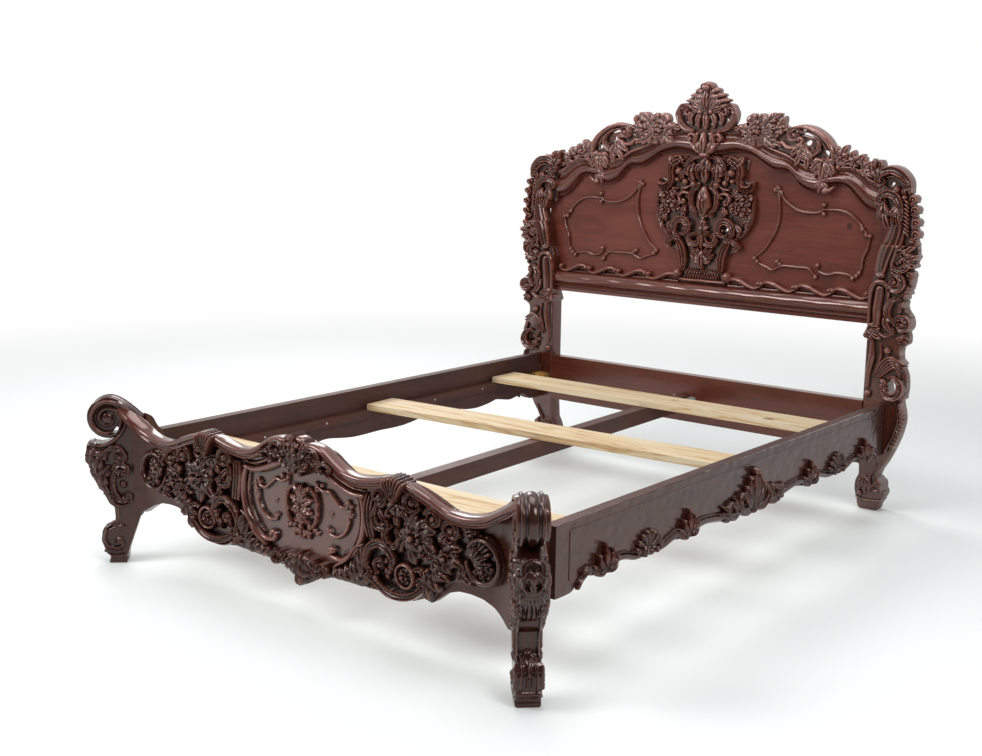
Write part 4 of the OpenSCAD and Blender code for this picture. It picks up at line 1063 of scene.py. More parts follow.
# middle: a ribbed boss like a bud between C scrolls, with posies at the sides
c.leaf([(0, 1056), (0, 1118), (0, 1180)], 74, 22, 1, 9)
c.leaf([(0, 1066), (0, 1110), (0, 1160)], 34, 26, 1, 12)
c.scroll([(30, 1172), (52, 1158), (58, 1126), (52, 1094), (30, 1074)], ((10, 230, -1), (10, 230, 1)),
    [10, 17, 20, 17, 10], 18, 5)
c.scroll([(74, 1148), (98, 1150), (114, 1134), (108, 1114)], ((10, 220, 1), (11, 240, -1)), [10, 16, 16, 12],
    17, 5, "round")
c.flower((178, 1134), 36, 24, 5, 15, 5)
c.flower((184, 1078), 28, 22, 5, 45, 5)
c.flower((134, 1096), 27, 22, 5, 0, 5)
c.spray((150, 1150), [(120, 1166), (116, 1142), (134, 1124)], 24, 15, 2, 4)
c.spray((190, 1060), [(206, 1040), (192, 1020), (172, 1030)], 24, 15, 2, 4)
c.leaf([(86, 1098), (94, 1074), (84, 1050)], 28, 15, 2, 5)
c.stroke([(218, 1140), (218, 1096), (208, 1046), (186, 1004), (150, 970)], [8, 14, 17, 14, 8], 14, 3, "hollow")
# thick ring volutes, small volutes, and fluted leaves that run down to the ball feet
c.volute((96, 1010), (41, 24, -70, 290, 44), [12, 26, 31, 25, 10], 23, 5)
c.ball((88, 1008), 9, 14, 3)
c.leaf([(144, 1034), (160, 1006), (150, 976)], 28, 14, 2, 4)
c.leaf([(0, 992), (0, 1020), (0, 1052)], 46, 17, 2, 5)
c.scroll([(12, 990), (10, 966), (26, 950), (48, 950), (60, 966), (54, 984)], ((9, 200, -1), (9, 220, 1)),
    [12, 20, 25, 25, 18, 12], 21, 6)
c.leaf([(0, 986), (0, 954), (0, 930)], 26, 24, 1, 9)
c.stroke([(150, 978), (122, 968), (98, 934), (86, 890), (86, 846)], [10, 28, 38, 34, 20], 21, 4, "reeded")
c.scroll([(108, 968), (136, 968), (160, 950)], (None, (9, 240, -1)), [16, 22, 16], 20, 6)
c.spray((0, 872), [(46, 936), (28, 944), (52, 914)], 30, 17, 2, 6)
c.leaf([(0, 852), (0, 896), (0, 930)], 34, 20, 1, 8)
c.ball((112, 826), 21, 25, 3)
for x in range(-8, 66, 12):
    c.stroke([(x, 812), (x + 14, 848)], 4, 6, 4)
    c.stroke([(x + 14, 812), (x, 848)], 4, 6, 4)
c.stroke([(0, 804), (50, 803), (104, 804)], [15, 14, 12], 13, 4)
c.cut([(22, 1226), (30, 1208), (36, 1220), (30, 1236)])
c.drill((98, 1010, 8), (72, 1088, 6), (122, 1060, 5), (72, 1212, 5))
c.height *= 1.35
carve("head_cartouche", c, PANEL_Y0, 6)


# %% [markdown]
# ## Scroll lines and the rail of the panel
# Thin half-round ribbons frame the panel, each ending in balls. They are the same strokes as the scrolls,
# only lower and narrower. The rail under the panel is a swept moulding whose cushion swells and sinks in a
# wave, swell = cos(2 pi (|x| - 150) / 148), and a carved bead follows the same wave on top of it.

# %% Lay the ribbons, the rail and the wavy bead
RIBBONS = [[(316, 1170), (350, 1132), (396, 1104), (446, 1096), (486, 1100), (504, 1112)],
    [(508, 1110), (556, 1112), (600, 1102), (640, 1075), (660, 1050), (672, 1036)],
    [(690, 1012), (684, 980), (668, 940), (664, 902), (656, 880)],
    [(638, 864), (618, 874), (572, 879), (532, 870), (502, 876), (486, 892)],
    [(482, 862), (452, 886), (400, 888), (352, 889), (326, 880), (300, 870), (276, 880), (240, 892)],
    [(306, 1176), (318, 1140), (322, 1096), (316, 1044), (296, 994), (262, 944), (228, 914)]]
RIBBON_BALLS = [(504, 1128), (504, 1094), (676, 1026), (660, 1046), (690, 1022), (490, 900), (484, 856), (646, 872),
    (632, 862), (656, 884), (322, 902), (334, 892), (224, 908), (236, 896), (312, 1182), (300, 1174)]
c = Carving(206, 840, 706, 1200, 2.0)
for ribbon in RIBBONS:
    c.stroke(ribbon, [9, 14, 15, 14, 9], 13)
c.balls(RIBBON_BALLS, 11, 17)
c.leaf([(330, 1150), (316, 1172), (300, 1196)], 22, 9, 3)
carve_pair("panel_scrolls", c, PANEL_Y0, 1)

# the rail under the panel: a flat band, a bead between two grooves, and a cushion that swells with the wave
CUSHION = np.array([(0, -18), (0, 22), (1, 24), (13, 24), (15, 20), (18, 20), (20, 27), (24, 30), (28, 27), (30, 21),
    (33, 22), (37, 30), (44, 36), (53, 39), (62, 38), (70, 34), (77, 28), (82, 22), (85, 17), (86, 14),
    (86, -18)], float)
PANEL_RAIL_Z0, WAVE_START, WAVE_LENGTH, CUSHION_TOP, CUSHION_REACH = 704, 150, 148, 64, 17
x = np.linspace(-718, 718, 481)[:, None]
waves = np.cos(2 * np.pi * (np.abs(x) - WAVE_START) / WAVE_LENGTH)
swell = waves * np.exp(-(((CUSHION[:, 0] - CUSHION_TOP) / CUSHION_REACH) ** 2))
rail = np.dstack([np.broadcast_to(x, swell.shape), PANEL_Y0 - CUSHION[:, 1] - swell,
    PANEL_RAIL_Z0 + CUSHION[:, 0] + swell]) * MM
make_piece("head_panel_rail", swept_mesh(rail), moulded_wood, sharp=40)

c = Carving(100, 756, 716, 834, 2.0)
c.plate([(112, 786), (712, 786), (712, 797), (112, 797)], 8, 3)
for start in range(116, 660, WAVE_LENGTH):
    x = start + np.array([0, 18, 48, 84, 118, 148])
    c.plate(np.column_stack([np.append(x, [start + 148, start]), [790, 778, 770, 768, 776, 790, 800, 800]]), 6, 5)
    c.stroke(np.column_stack([x, [806, 820, 818, 802, 793, 804]]), [12, 20, 24, 21, 16, 10], 24, 4)
    c.ball((start + 2, 814), 11, 26, 4)
    c.ball((start + 136, 812), 10, 23, 4)
carve_pair("wave_bead", c, PANEL_Y0, 3)


# %% [markdown]
# ## Foot cap
# The footboard's cap is a bar that follows a serpentine line, and near its ends it swings forward to meet
# the diagonal legs. Its section is a row of points from back to front with their drop below the top, laid
# between a back line and a front line that both bend in plan.

# %% Sweep the cap
CAP_TOP = [[0, 547], [26, 543], [44, 533], [72, 533], [110, 524], [150, 500], [190, 480], [225, 473], [262, 473],
    [310, 480], [350, 489], [392, 493], [432, 487], [470, 477], [510, 463], [545, 449], [580, 439], [620, 436],
    [660, 440], [702, 451], [738, 470], [775, 490], [812, 512]]
BOARD_Y0 = -1043.34
BACK_LINE = np.array([(0, BOARD_Y0), (690, BOARD_Y0), (721, -1046), (745, -1056), (768, -1070), (776, -1078)])
FRONT_LINE = np.array([(0, BOARD_Y0 - 42), (690, BOARD_Y0 - 42), (730, -1090), (760, -1096), (786, -1098),
    (806, -1100)])
CAP_SECTION = np.array([(0, 32), (0, 2), (0.1, 0), (0.5, -0.5), (0.75, 0.5), (0.92, 3), (1, 8), (1.0, 13), (0.92, 17),
    (0.8, 19), (0.74, 21), (0.74, 24), (0.82, 26), (0.84, 29), (0.78, 32), (0.6, 33), (0.5, 32)])
crown = smooth(CAP_TOP, 8)
share = np.clip(crown[:, 0] / 812, 0, 1)
lines = [evenly(line.astype(float), 400) for line in (BACK_LINE, FRONT_LINE)]
ends = [np.column_stack([np.interp(share, np.linspace(0, 1, 400), line[:, k]) for k in (0, 1)]) for line in lines]
plan = ends[0][:, None] * (1 - CAP_SECTION[None, :, :1]) + ends[1][:, None] * CAP_SECTION[None, :, :1]
height = crown[:, 1:] - CAP_SECTION[None, :, 1]
cap = np.dstack([plan, height]) * MM
whole = np.concatenate([cap[:0:-1] * (-1, 1, 1), cap])
make_piece("foot_cap", swept_mesh(whole), moulded_wood, sharp=40)


# %% [markdown]
# ## Shield and crest of the footboard
# A smooth shield is set in a half-round frame, with a low oval medallion under a flower and fine scroll
# lines that end in balls. A knot of leaves and flowers, a piece of its own, climbs from it over the cap.

# %% Carve the shield and its crest
c = Carving(0, 180, 262, 520)
SHIELD = [[0, 508], [40, 497], [72, 497], [110, 488], [150, 464], [190, 444], [238, 438], [250, 400], [246, 340],
    [230, 280], [196, 228], [150, 198], [90, 186], [40, 190], [0, 196]]
c.plate(np.array([[-40, 508]] + SHIELD + [[-40, 196]], float), 0)
c.stroke([(58, 462), (100, 446), (150, 424), (200, 410), (244, 412)], [16, 24, 24, 20, 14], 17, 3)
c.stroke([(66, 478), (110, 466), (154, 444), (206, 428), (244, 430)], [8, 12, 12, 10, 8], 12, 3)
c.scroll([(236, 412), (248, 370), (246, 320), (232, 276), (200, 236), (160, 212), (124, 214)], (None, (15, 230, -1)),
    [14, 20, 22, 22, 22, 18, 14], 18, 3, "round")
c.stroke([(222, 400), (230, 350), (222, 300), (196, 252), (164, 230)], [6, 9, 9, 9, 6], 9, 2)
# fine scroll frame
c.scroll([(66, 404), (86, 396), (110, 398), (134, 380), (156, 364), (178, 366)], ((8, 240, 1), (8, 240, 1)),
    [9, 11, 11, 11, 11, 9], 12, 1, "round")
c.scroll([(186, 344), (186, 322), (170, 292), (140, 274), (114, 276)], ((8, 240, -1), (8, 240, -1)),
    [9, 12, 12, 12, 9], 12, 1, "round")
c.balls([(58, 412), (82, 412), (184, 382), (196, 372), (192, 356), (106, 290), (62, 268), (50, 274)], 8, 12, 1)
c.ball((114, 332), 8, 7, 0)
# oval medallion with its flower
c.oval((0, 336), 40, 50, 5, 1)
c.spray((0, 340), [(34, 398), (48, 362), (46, 322), (32, 288)], 34, 17, 3, 4)
c.leaf([(0, 340), (0, 372), (0, 404)], 34, 18, 3, 5)
c.leaf([(0, 330), (0, 300), (0, 268)], 34, 18, 3, 5)
c.flower((0, 336), 24, 24, 5, 18, 5)
c.scroll([(36, 392), (58, 372), (62, 336), (56, 300), (36, 278)], ((8, 230, 1), (8, 230, -1)),
    [8, 12, 14, 12, 8], 14, 2)
c.spray((20, 270), [(4, 240), (30, 244)], 22, 13, 2, 2)
carve("foot_cartouche", c, BOARD_Y0, 3)

# the knot of leaves and flowers that climbs over the cap in the middle
c = Carving(0, 424, 156, 560)
c.leaf([(0, 440), (0, 490), (0, 556)], 44, 20, 4, 8)
c.leaf([(14, 470), (34, 500), (40, 540)], 30, 18, 4, 4)
c.leaf([(10, 452), (40, 462), (66, 486)], 30, 18, 4, 4)
c.scroll([(40, 500), (60, 516), (86, 514), (98, 496)], ((9, 230, 1), (11, 240, -1)), [12, 16, 16, 12], 18, 3)
c.scroll([(96, 470), (116, 486), (140, 478)], ((10, 240, 1), (9, 240, -1)), [10, 14, 10], 16, 3)
c.flower((62, 494), 18, 22, 5, 0, 4)
c.flower((30, 470), 15, 20, 5, 30, 4)
c.ball((18, 520), 9, 20, 3)
c.ball((78, 478), 9, 16, 3)
c.ball((20, 440), 9, 16, 3)
carve("foot_crest", c, BOARD_Y0, 30, wood=dark_carving)


# %% [markdown]
# ## Leaf clusters of the footboard
# Between the shield and each leg lies the densest carving of the bed: volutes that face each other under a
# shell, a great rose in its leaves, C scrolls round a rosette, and a round medallion with a posy. Below the
# shield hangs an apron with a pendant leaf. One carving per side keeps the holes between them open.

# %% Carve the clusters and the apron
CLUSTER = [[252, 438], [310, 446], [350, 462], [368, 486], [392, 470], [432, 456], [470, 446], [510, 432], [545, 420],
    [580, 410], [618, 402], [618, 256], [590, 248], [556, 236], [530, 216], [510, 196], [489, 165], [455, 172],
    [420, 156], [383, 150], [340, 148], [300, 154], [262, 156], [262, 280], [256, 360]]
c = Carving(244, 140, 746, 512, 2.0)
c.plate(CLUSTER, 2, 6)
# the round medallion: a C-shaped roll, and inside it a fluted leaf, a rose and small leaves
c.plate(curl((672, 322), 68, 68, 0, 352, 44), 1, 6)
c.volute((672, 322), (57, 57, 150, -168, 60), [10, 18, 21, 21, 21, 21, 18, 10], 19, 2, "round")
c.volute((672, 322), (68, 67, 120, -130, 50), 6, 10, 1, "round")
c.fan((640, 322), 62, 18, 112, 15, 7, 3)
c.spray((640, 316), [(690, 340), (668, 362), (700, 320)], 30, 17, 3, 4)
c.flower((680, 300), 27, 23, 6, 12, 4)
c.spray((664, 300), [(650, 276), (684, 268), (708, 288)], 24, 16, 3, 3)
# under the cap: a shell between two volutes that face each other, and a string of beads
c.fan((385, 420), 80, 54, 122, 20, 7, 30)
for centre, first, last in (((320, 426), 200, -150), ((436, 434), 330, -20)):
    c.volute(centre, (27, 18, first, last, 44), [10, 15, 18, 18, 12], 19, 7)
    c.ball(centre, 14, 20, 7)
c.stroke([(452, 462), (476, 456), (500, 442), (520, 434)], [8, 14, 12, 6], 15, 5)
c.balls([(x, 424) for x in range(354, 407, 13)], 7, 15, 6)
c.cut([(458, 440), (472, 438), (478, 444), (466, 448)])
# flutes beside the shield and the leaves that hang under the shell
for x in (262, 274, 286):
    c.stroke([(x, 424), (x - 6, 384), (x - 2, 344), (x + 6, 306)], [6, 12, 13, 9], 16, 3)
c.spray((380, 418), [(346, 370), (384, 354), (424, 376)], 38, 20, 2, 6)
c.scroll([(304, 402), (296, 372), (308, 346), (334, 344)], (None, (11, 240, 1)), [12, 22, 24, 16], 21, 5)
c.leaf([(312, 396), (326, 376), (346, 366)], 26, 17, 1, 5)
# scrolls on the way to the medallion
c.volute((512, 404), (30, 13, 215, -150, 40), [10, 17, 20, 17, 10], 21, 6)
c.ball((512, 404), 11, 22, 6)
c.volute((574, 384), (30, 12, 190, -190, 40), [10, 16, 19, 16, 10], 20, 6)
c.ball((574, 384), 10, 21, 6)
c.spray((604, 388), [(634, 404), (660, 400), (622, 420)], 30, 16, 3, 4)
c.leaf([(548, 416), (566, 428), (592, 420)], 26, 16, 3, 5)
# the great rose with its leaves, and a cupped leaf with a drilled hollow beside it
c.spray((446, 342), [(516, 366), (518, 306), (446, 262), (384, 284), (446, 408)], 60, 18, 2, 5)
c.flower((446, 340), 62, 25, 5, 50, 5)
c.flower((448, 342), 44, 33, 5, 14, 9)
c.volute((366, 326), (28, 24, 100, 420, 40), [10, 18, 20, 18, 10], 22, 6)
c.drill((366, 326, 12))
c.spray((560, 318), [(604, 340), (606, 294), (566, 264)], 44, 19, 2, 5)
c.spray((540, 340), [(556, 370), (586, 356)], 34, 18, 2, 6)
c.flower((556, 308), 31, 27, 5, 20, 7)
c.ball((532, 282), 9, 20, 5)
c.ball((492, 260), 8, 20, 5)
c.leaf([(590, 272), (620, 262), (652, 252)], 28, 14, 3, 4)
# the round scroll with its own rosette, and the long double roll along the lower edge
c.scroll([(272, 214), (266, 246), (280, 278), (312, 298), (348, 292), (368, 268)], (None, (17, 230, -1)),
    [12, 20, 25, 25, 21, 14], 23, 6)
c.volute((318, 236), (22, 10, 250, -60, 34), [9, 14, 14, 8], 18, 5)
c.ball((318, 236), 9, 18, 5)
c.scroll([(270, 226), (296, 192), (338, 170), (388, 164), (436, 176), (474, 204)], (None, (16, 240, 1)),
    [12, 20, 23, 23, 20, 14], 22, 5)
c.stroke([(286, 178), (336, 154), (392, 153), (440, 168)], [6, 10, 10, 6], 14, 3)
c.volute((408, 224), (33, 31, 200, -150, 44), [9, 13, 14, 13, 9], 18, 5, "round")
c.flower((408, 224), 25, 25, 5, 10, 7)
c.leaf([(372, 250), (352, 232), (346, 200)], 28, 18, 3, 5)
c.scroll([(446, 252), (468, 256), (484, 240), (486, 218)], (None, (10, 250, -1)), [12, 18, 18, 12], 20, 6)
c.spray((500, 256), [(492, 174), (528, 206), (562, 244)], 46, 20, 2, 5)
c.spray((282, 214), [(262, 168), (290, 160), (312, 164)], 26, 17, 3, 4)
c.scroll([(486, 292), (506, 304), (534, 296), (540, 272)], ((9, 230, -1), (11, 250, -1)), [10, 17, 18, 12], 20, 5)
c.leaf([(512, 292), (520, 262), (508, 236)], 34, 20, 2, 6)
c.leaf([(604, 300), (606, 270), (586, 248)], 32, 17, 2, 4)
c.drill((346, 246, 11), (292, 206, 6), (374, 204, 7), (356, 392, 5), (448, 212, 5), (536, 372, 6), (478, 404, 6))
c.height *= 1.25
carve_pair("foot_carving", c, BOARD_Y0, 4, wood=dark_carving)

c = Carving(0, 98, 262, 290, 2.0)
c.plate([(-30, 193), (0, 193), (40, 187), (90, 183), (146, 186), (150, 196), (196, 224), (228, 272), (258, 278),
    (258, 156), (228, 150), (200, 154), (170, 150), (130, 152), (90, 148), (60, 138), (30, 121), (0, 106),
    (-30, 121)], 3, 6)
c.leaf([(0, 200), (0, 160), (0, 102)], 66, 22, 3, 8)
c.spray((22, 196), [(34, 132), (58, 140)], 34, 19, 3, 5)
c.volute((96, 164), (24, 10, 200, -150, 36), [10, 16, 18, 14, 8], 21, 5)
c.flower((96, 164), 13, 24, 5, 0, 7)
c.scroll([(30, 184), (54, 190), (70, 176)], (None, (9, 250, -1)), [10, 15, 12], 19, 5)
for at_x, at_z, way_x, way_z in ((136, 186, 24, -30), (160, 192, 26, -32), (182, 204, 26, -38), (204, 220, 24, -50),
        (222, 244, 20, -62), (238, 272, 14, -66)):
    c.leaf([(at_x, at_z), (at_x + way_x * 0.7, at_z + way_z * 0.45), (at_x + way_x, at_z + way_z)], 38, 18, 1, 5)
c.flower((236, 204), 19, 24, 5, 0, 8)
c.flower((200, 176), 14, 22, 5, 20, 7)
c.stroke([(146, 196), (190, 224), (222, 264), (250, 278)], [10, 13, 13, 10], 16, 5)
c.drill((76, 156, 5), (128, 166, 5))
c.height *= 1.2
carve("foot_apron", c, BOARD_Y0, 6, wood=dark_carving)


# %% [markdown]
# ## Scroll legs
# A foot leg is a thick plank set on the diagonal and carved on both faces: a volute on top with a slit
# under it, leaves and curls on the knee, and a scroll foot on a block. The edge that faces outward is
# carved too, so two more carvings are bent along it: a reeded barrel round the volute, and leaves, a boss
# and a sunk frame down the front.

# %% Carve the legs
LEG_FRONT = [[25, 0], [23, 20], [33, 29], [40, 54], [46, 74], [43, 95], [31, 112], [8, 125], [0, 134], [-3, 150],
    [-3, 172], [0, 188], [15, 201], [28, 226], [45, 243], [49, 267], [64, 292], [74, 309], [73, 327], [82, 343],
    [79, 368], [75, 384], [72, 402], [62, 398], [44, 394], [24, 397], [8, 404], [-8, 416], [-20, 432]]
LEG_TOP = [[-12, 540], [-36, 530], [-58, 510], [-78, 490], [-95, 476]]
LEG_REAR = [[-95, 165], [-80, 150], [-63, 100], [-48, 59], [-38, 29], [-30, 0]]
LEG_X, LEG_Y, DIAGONAL = 840, -1087.34, math.sqrt(0.5)


def on_leg(d, across, z):
    """A point of the leg from its place along the diagonal, across it and above the floor."""
    return np.column_stack([LEG_X + (d + across) * DIAGONAL, LEG_Y + (across - d) * DIAGONAL, z]) * MM


def bent_along(path):
    """Lay a carving along a path on the leg's edge: u runs along it, w across, and out at right angles."""
    run = lengths_along(path)
    way = headings(path, run)
    at = lambda u, values: np.interp(u, run, values)
    return run[-1], lambda u, w, out: on_leg(at(u, path[:, 0]) + out * at(u, way[:, 1]), w,
        at(u, path[:, 1]) - out * at(u, way[:, 0]))


c = Carving(-97, -2, 90, 548)
edge_line = np.vstack([smooth(LEG_FRONT, 4), [(-28, 480)], smooth(LEG_TOP, 4), LEG_REAR])
c.plate(edge_line, 6, 4)
c.plate(curl((11, 480), 62, 62, 0, 352, 44), 6, 6)
# volute: rolled rim, sunk ring, domed eye
d = np.hypot(c.u - 11, c.w - 478)
c.height[(d < 44) & (c.inside > 0)] = 0
rolled = np.vstack([smooth([(-95, 468), (-72, 486), (-50, 508), (-28, 524)], 6),
    curl((11, 478), 54, 52, 122, -60, 40), curl((11, 477), 52, 40, -60, -175, 24)])
c.stroke(rolled, [8, 14, 16, 18, 18, 18, 18, 16, 14, 8], 9, 6, n=1)
c.volute((13, 478), (36, 20, 185, -150, 30), [16, 14, 10], 7, 1, "round")
c.ball((14, 478), 19, 11, 0)
# arm under the volute
c.stroke([(-38, 520), (-46, 486), (-40, 452), (-22, 424), (6, 400), (38, 390), (70, 398)],
    [6, 9, 12, 16, 18, 16, 8], 9, 5)
# curls and leaves down the face
c.scroll([(20, 372), (2, 384), (-20, 380), (-34, 362)], (None, (17, 260, 1)), [12, 19, 21, 14], 15, 5)
c.leaf([(14, 374), (38, 352), (48, 318), (44, 284)], 46, 16, 3, 5)
c.leaf([(46, 380), (64, 360), (66, 332)], 26, 10, 4, 5)
c.scroll([(8, 300), (-4, 320), (-24, 330), (-42, 318)], (None, (13, 250, 1)), [12, 19, 20, 13], 15, 5)
c.leaf([(14, 322), (30, 296), (29, 262), (14, 232)], 44, 16, 3, 5)
c.leaf([(42, 292), (36, 262), (22, 232)], 32, 13, 2, 5)
c.scroll([(-2, 300), (4, 270), (-2, 236), (-18, 212)], ((14, 250, 1), (14, 250, -1)), [12, 19, 20, 13], 15, 5)
c.ball((-30, 262), 12, 12, 5)
c.leaf([(-36, 236), (-50, 222), (-54, 204)], 22, 9, 3, 5)
c.leaf([(8, 236), (8, 214), (-2, 196)], 22, 9, 3, 5)
c.stroke([(0, 196), (-22, 192), (-44, 198)], [8, 12, 8], 9, 5)
c.stroke([(-12, 186), (-10, 150), (0, 128)], 7, 6, 5)
# scroll foot
c.scroll([(0, 132), (28, 116), (38, 84), (26, 56), (0, 48)], (None, (20, 230, -1)), [8, 14, 16, 14, 10], 9, 5)
c.ball((-12, 76), 11, 11, 5)
c.leaf([(-6, 112), (-20, 122), (-34, 118)], 20, 8, 3, 5)
c.stroke([(-44, 30), (0, 26), (36, 30)], 9, 6, 4)
c.cut([(-16, 446), (-6, 432), (12, 421), (36, 417), (66, 424), (90, 440), (90, 412), (70, 402), (40, 400),
    (12, 408), (-8, 422)])
c.inside -= 4 * np.clip((c.w - 10) / 20, 0, 1)
leg_faces = carved_mesh(c, lambda u, w, out: on_leg(u, out, w), 27, None)

back_line = smooth([(-30, 522), (-56, 502), (-76, 484), (-93, 470)], 6)
barrel = np.vstack([curl((11, 478), 59, 59, -118, 118, 60), back_line])
length, place = bent_along(barrel)
c = Carving(0, -31, length, 31)
c.plate([(0, -31), (length, -31), (length, 31), (0, 31)], 1, 3)
for w, wide in ((-25, 12), (0, 27), (25, 12)):
    c.stroke([(4, w), (length * 0.5, w), (length - 6, w * 0.9)], [wide * 0.6, wide, wide, wide * 0.8], 6, 1)
leg_barrel = carved_mesh(c, place, 1, -5)

edge = smooth(LEG_FRONT[:23], 5)
length, place = bent_along(edge)
at_height = lambda z: float(np.interp(z, edge[:, 1], lengths_along(edge)))


def places(side, *spots):
    """Grid points on the front from (height, distance off the middle on this side)."""
    return [(at_height(z), off * side) for z, off in spots]


c = Carving(at_height(29), -31, length - 2, 31, 2.0)
c.plate([(at_height(29), -31), (length - 2, -31), (length - 2, 31), (at_height(29), 31)], 1, 3)
for side in (-1, 1):
    # from the top: rolled corners, a boss in a leafy frame, flames, a sunk frame, and leaves on the foot
    c.scroll(places(side, (394, 4), (388, 22), (366, 26)), (None, (8, 220, -side)), [12, 16, 13], 14, 1)
    c.leaf(places(side, (372, 6), (350, 22), (322, 24)), 22, 13, 2, 1)
    c.stroke(places(side, (332, 27), (318, 16), (312, 3)), [8, 12, 9], 13, 1)
    for reach, spread in ((248, 27), (238, 17), (232, 6)):
        c.leaf(places(side, (312, spread * 0.5), (284, spread * 0.9), (reach, spread)), 17, 13, 2, 1)
    c.stroke(places(side, (232, 27), (180, 27), (128, 26)), [6, 8, 7], 9, 1)
    c.leaf(places(side, (136, 4), (116, 14), (90, 20)), 22, 12, 2, 1)
    c.stroke(places(side, (96, 20), (70, 21), (46, 20)), [5, 7, 5], 6, 1)
    c.stroke(places(side, (80, 6), (60, 6)), 5, 5, 1)
c.oval((at_height(352), 0), 18, 13, 17, 1)
c.leaf(places(1, (344, 0), (326, 0), (306, 0)), 26, 15, 1, 1)
c.leaf(places(1, (140, 0), (114, 0), (82, 0)), 20, 13, 1, 1)
c.stroke(places(1, (330, -27), (372, -25), (392, 0), (372, 25), (330, 27)), 8, 11, 1)
c.stroke(places(1, (40, -29), (40, 29)), 10, 8, 1)
c.height *= 0.8
leg_edge = carved_mesh(c, place, -3, -10)
for side in SIDES:
    for name, data in (("foot_leg", leg_faces), ("leg_barrel", leg_barrel), ("leg_front", leg_edge)):
        make_piece(name, data, dark_carving, side)


# %% [markdown]
# ## Side rail carving
# Along the wavy lower edge of each side rail runs a roll that links leaf groups and a shell, with a palmette
# in the middle. Its two ends are alike, so one half is drawn along the board and mirrored. A fine bead
# frames the flat of the board above it, swept as a small circle along a line.

# %% Carve the rails
c = Carving(0, 222, 932, 392, 2.0)
ROLL = [[924, 236], [904, 256], [868, 268], [806, 262], [745, 270], [700, 266], [655, 254], [592, 256], [528, 252],
    [480, 262], [440, 270], [385, 262], [318, 272], [262, 270], [200, 262], [130, 256], [60, 256], [0, 258]]
c.stroke(ROLL, [12, 17, 18, 18, 18], 12, 2)
c.stroke(np.array(ROLL, float) + [0, 13], [4, 7, 7, 7], 7, 1)
# the middle palmette: a tall leaf with a rolled tip between bending petals and scrolls
c.leaf([(0, 246), (0, 300), (0, 374)], 44, 18, 1, 6)
c.oval((0, 370), 15, 13, 25, 4)
for tip_x, tip_z in ((30, 356), (52, 330)):
    c.leaf([(6, 250), (tip_x * 0.9, 250 + (tip_z - 250) * 0.5), (tip_x, tip_z)], 30, 16, 1, 4)
    c.ball((tip_x, tip_z - 4), 8, 18, 4)
c.scroll([(16, 246), (54, 246), (82, 264), (90, 292), (78, 308)], (None, (10, 250, 1)), [12, 20, 22, 18, 12], 17, 4)
c.ball((0, 246), 13, 17, 4)
c.scroll([(94, 250), (126, 246), (152, 256), (158, 280), (144, 294)], (None, (9, 250, 1)),
    [10, 18, 20, 16, 10], 16, 4)
c.spray((140, 256), [(196, 296), (212, 276), (200, 256)], 28, 15, 2, 3)
c.leaf([(110, 256), (112, 284), (124, 310)], 26, 15, 2, 4)
# leaf groups and shells, each on two small volutes
for at, wide in ((386, 1.0), (806, 1.1)):
    c.spray((at, 250), [(at + dx * wide, z) for dx, z in ((-50, 282), (-30, 306), (0, 328), (30, 304), (50, 280))],
        21, 18, 1, 4)
    for dx, z in ((-50, 280), (-30, 304), (0, 326), (30, 302), (50, 278)):
        c.ball((at + dx * wide, z), 6, 19, 3)
    for side in (-1, 1):
        c.volute((at + 24 * side, 262), (15, 6, 90 + 90 * side, 90 - 230 * side, 24), [6, 10, 10, 7], 17, 4)
        c.ball((at + 24 * side, 262), 6, 19, 4)
c.fan((592, 250), 70, 8, 172, 17, 8, 4)
for side in (-1, 1):
    c.volute((592 + 26 * side, 262), (19, 7, 90 + 60 * side, 90 - 260 * side, 26), [8, 13, 13, 8], 20, 4)
    c.ball((592 + 26 * side, 262), 7, 22, 4)
c.ball((592, 256), 12, 20, 4)
c.leaf([(862, 262), (890, 276), (912, 262)], 24, 12, 2, 3)
RAIL_X, RAIL_MID = 820, 62.66
on_rail = lambda u, w, out: np.column_stack([RAIL_X + out, RAIL_MID + u, w]) * MM
whole = carved_mesh(c.both_halves(), on_rail, 0.5)
FRAME_LINE = np.array([(-893, 262), (-893, 330), (-893, 393), (-890, 396), (0, 395), (968, 393), (971, 390),
    (971, 330)], float)
around = np.radians(np.linspace(0, 360, 10, endpoint=False))
line = evenly(FRAME_LINE, 300)
way = headings(line)
BEAD_OUT, BEAD_UP = 2.6, 3
bead = np.dstack([np.broadcast_to(RAIL_X + BEAD_OUT * np.sin(around), (300, 10)),
    line[:, :1] - BEAD_UP * np.cos(around) * way[:, 1:],
    line[:, 1:] + BEAD_UP * np.cos(around) * way[:, :1]]) * MM
for side in SIDES:
    make_piece("rail_carving", whole, dark_carving, side)
    make_piece("rail_bead", swept_mesh(bead), rail_wood, side)


# %% [markdown]
# ## Finishes of the solids that stay
# Boards, rails, slats and fittings have the right shape already, so they keep their meshes and only take a
# finish, with the grain along each board.

# %% Give every solid its finish
FINISHES = {
    panel_wood: ["head_panel"],
    cross_wood: ["head_cross_rail"],
    board_wood: ["foot_board"],
    rail_wood: ["side_rail_left", "side_rail_right"],
    inner_wood: ["centre_rail", "slat_cleat_left", "slat_cleat_right"],
    upright_wood: ["corner_wing_left", "corner_wing_right"],
    pine: ["slat_head", "slat_middle", "slat_foot"],
    steel: ["hanger_head", "hanger_foot", "hanger_screws", "rail_hooks", "hook_sockets", "cleat_screws"],
    brass: ["corner_braces", "brace_screws"]}
for finish, names in FINISHES.items():
    for name in names:
        for slot in frame["nodes"][name].material_slots:
            slot.material = finish
print(sum(map(len, FINISHES.values())), "solids finished,",
    len([n for n in frame["nodes"].values() if n.hide_render]), "replaced by carving")


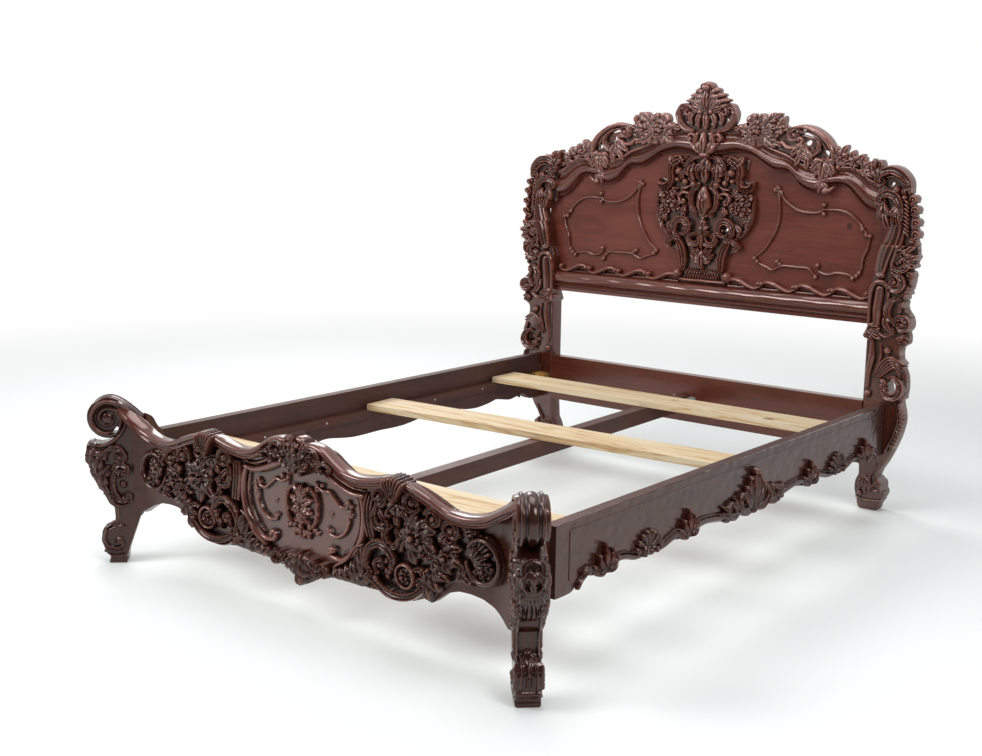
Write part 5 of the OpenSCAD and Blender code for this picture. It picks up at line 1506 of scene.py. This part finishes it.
# %% [markdown]
# ## Floor and light
# The bed stands on a plain pale floor that fades to white far away. Even light comes from the sky, and four
# softboxes give it direction, the strongest high on the left in front. Polish shows what it faces, so a
# mirror ray sees a white room behind the bed and a dark one behind the viewer, while the camera sees white.

# %% Set the floor, the sky and the lamps
WHITE, FLOOR_TONE, FLOOR_ROUGH, FADE = (1, 1, 1, 1), (0.90, 0.935, 0.93, 1), 0.55, (2.2, 6.0)
SKY_TONE, SKY_LIGHT, AIM = (0.98, 0.99, 1.0, 1), 0.33, (0, 0.1, 0.5)
SOFTBOXES = [
    ("key_softbox", (-2.4, -3.9, 3.4), 2.0, 124.0),
    ("fill_softbox", (3.6, -1.8, 3.4), 1.5, 72.0),
    ("rim_softbox", (-3.2, 2.2, 3.2), 2.0, 76.0),
    ("top_softbox", (0.2, -0.4, 4.2), 2.6, 74.0)]


def blended(graph, factor, first, second):
    """One shader or another, by factor."""
    made = graph.nodes.new("ShaderNodeMixShader")
    for value, socket in zip((factor, first, second), made.inputs):
        put(graph, value, socket)
    return made.outputs[0]


floor_mesh = bpy.data.meshes.new("floor")
floor_mesh.from_pydata([(-40, -40, 0), (40, -40, 0), (40, 40, 0), (-40, 40, 0)], [], [(0, 1, 2, 3)])
floor = bpy.data.objects.new("floor", floor_mesh)
bpy.context.scene.collection.objects.link(floor)
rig.stage(floor)
material, graph, shader = graph_of("pale_floor")
put(graph, FLOOR_TONE, shader.inputs["Base Color"])
put(graph, FLOOR_ROUGH, shader.inputs["Roughness"])
away = calculated(graph, "ShaderNodeVectorMath", "LENGTH", coordinates(graph))
fade = node(graph, "ShaderNodeMapRange", Value=away, From_Min=FADE[0], From_Max=FADE[1], To_Max=background_ray(graph))
fade.interpolation_type = "SMOOTHSTEP"
white = node(graph, "ShaderNodeEmission", Color=WHITE, Strength=toward_viewer(graph, "Object", 3.2, 6.5))
floor_surface = node_in(graph, "ShaderNodeOutputMaterial").inputs[0]
put(graph, blended(graph, fade.outputs[0], shader.outputs[0], white.outputs[0]), floor_surface)
floor_mesh.materials.append(material)

world = bpy.data.worlds.new("studio")
bpy.context.scene.world = world
world.use_nodes = True
sky = world.node_tree
sky.nodes.clear()
soft = node(sky, "ShaderNodeBackground", Color=SKY_TONE, Strength=SKY_LIGHT)
bright = node(sky, "ShaderNodeBackground", Color=WHITE, Strength=toward_viewer(sky, "Generated", -0.1, 0.5))
node(sky, "ShaderNodeOutputWorld", Surface=blended(sky, background_ray(sky), soft.outputs[0], bright.outputs[0]))

for name, place, size, power in SOFTBOXES:
    lamp = bpy.data.objects.new(name, bpy.data.lights.new(name, "AREA"))
    lamp.data.shape, lamp.data.size, lamp.data.energy = "SQUARE", size, power
    lamp.location = place
    aim = np.array(AIM) - place
    lamp.rotation_euler = (math.atan2(math.hypot(aim[0], aim[1]), -aim[2]), 0,
        math.atan2(aim[1], aim[0]) - math.pi / 2)
    bpy.context.scene.collection.objects.link(lamp)
bpy.context.scene.view_settings.view_transform = "Standard"
print("floor", FLOOR_TONE[:3], "and", len(bpy.data.lights), "lamps")


# %% [markdown]
# ## Measure and finish
# The dressed bed has to fill the same box as its solids, so both boxes are written down side by side.

# %% Write the sizes and finish
with open("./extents.json", "w") as sizes:
    json.dump({"cad": [list(corner) for corner in cad_box], "visual": [list(corner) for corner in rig.bounds()]}, sizes)
print(open("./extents.json").read())
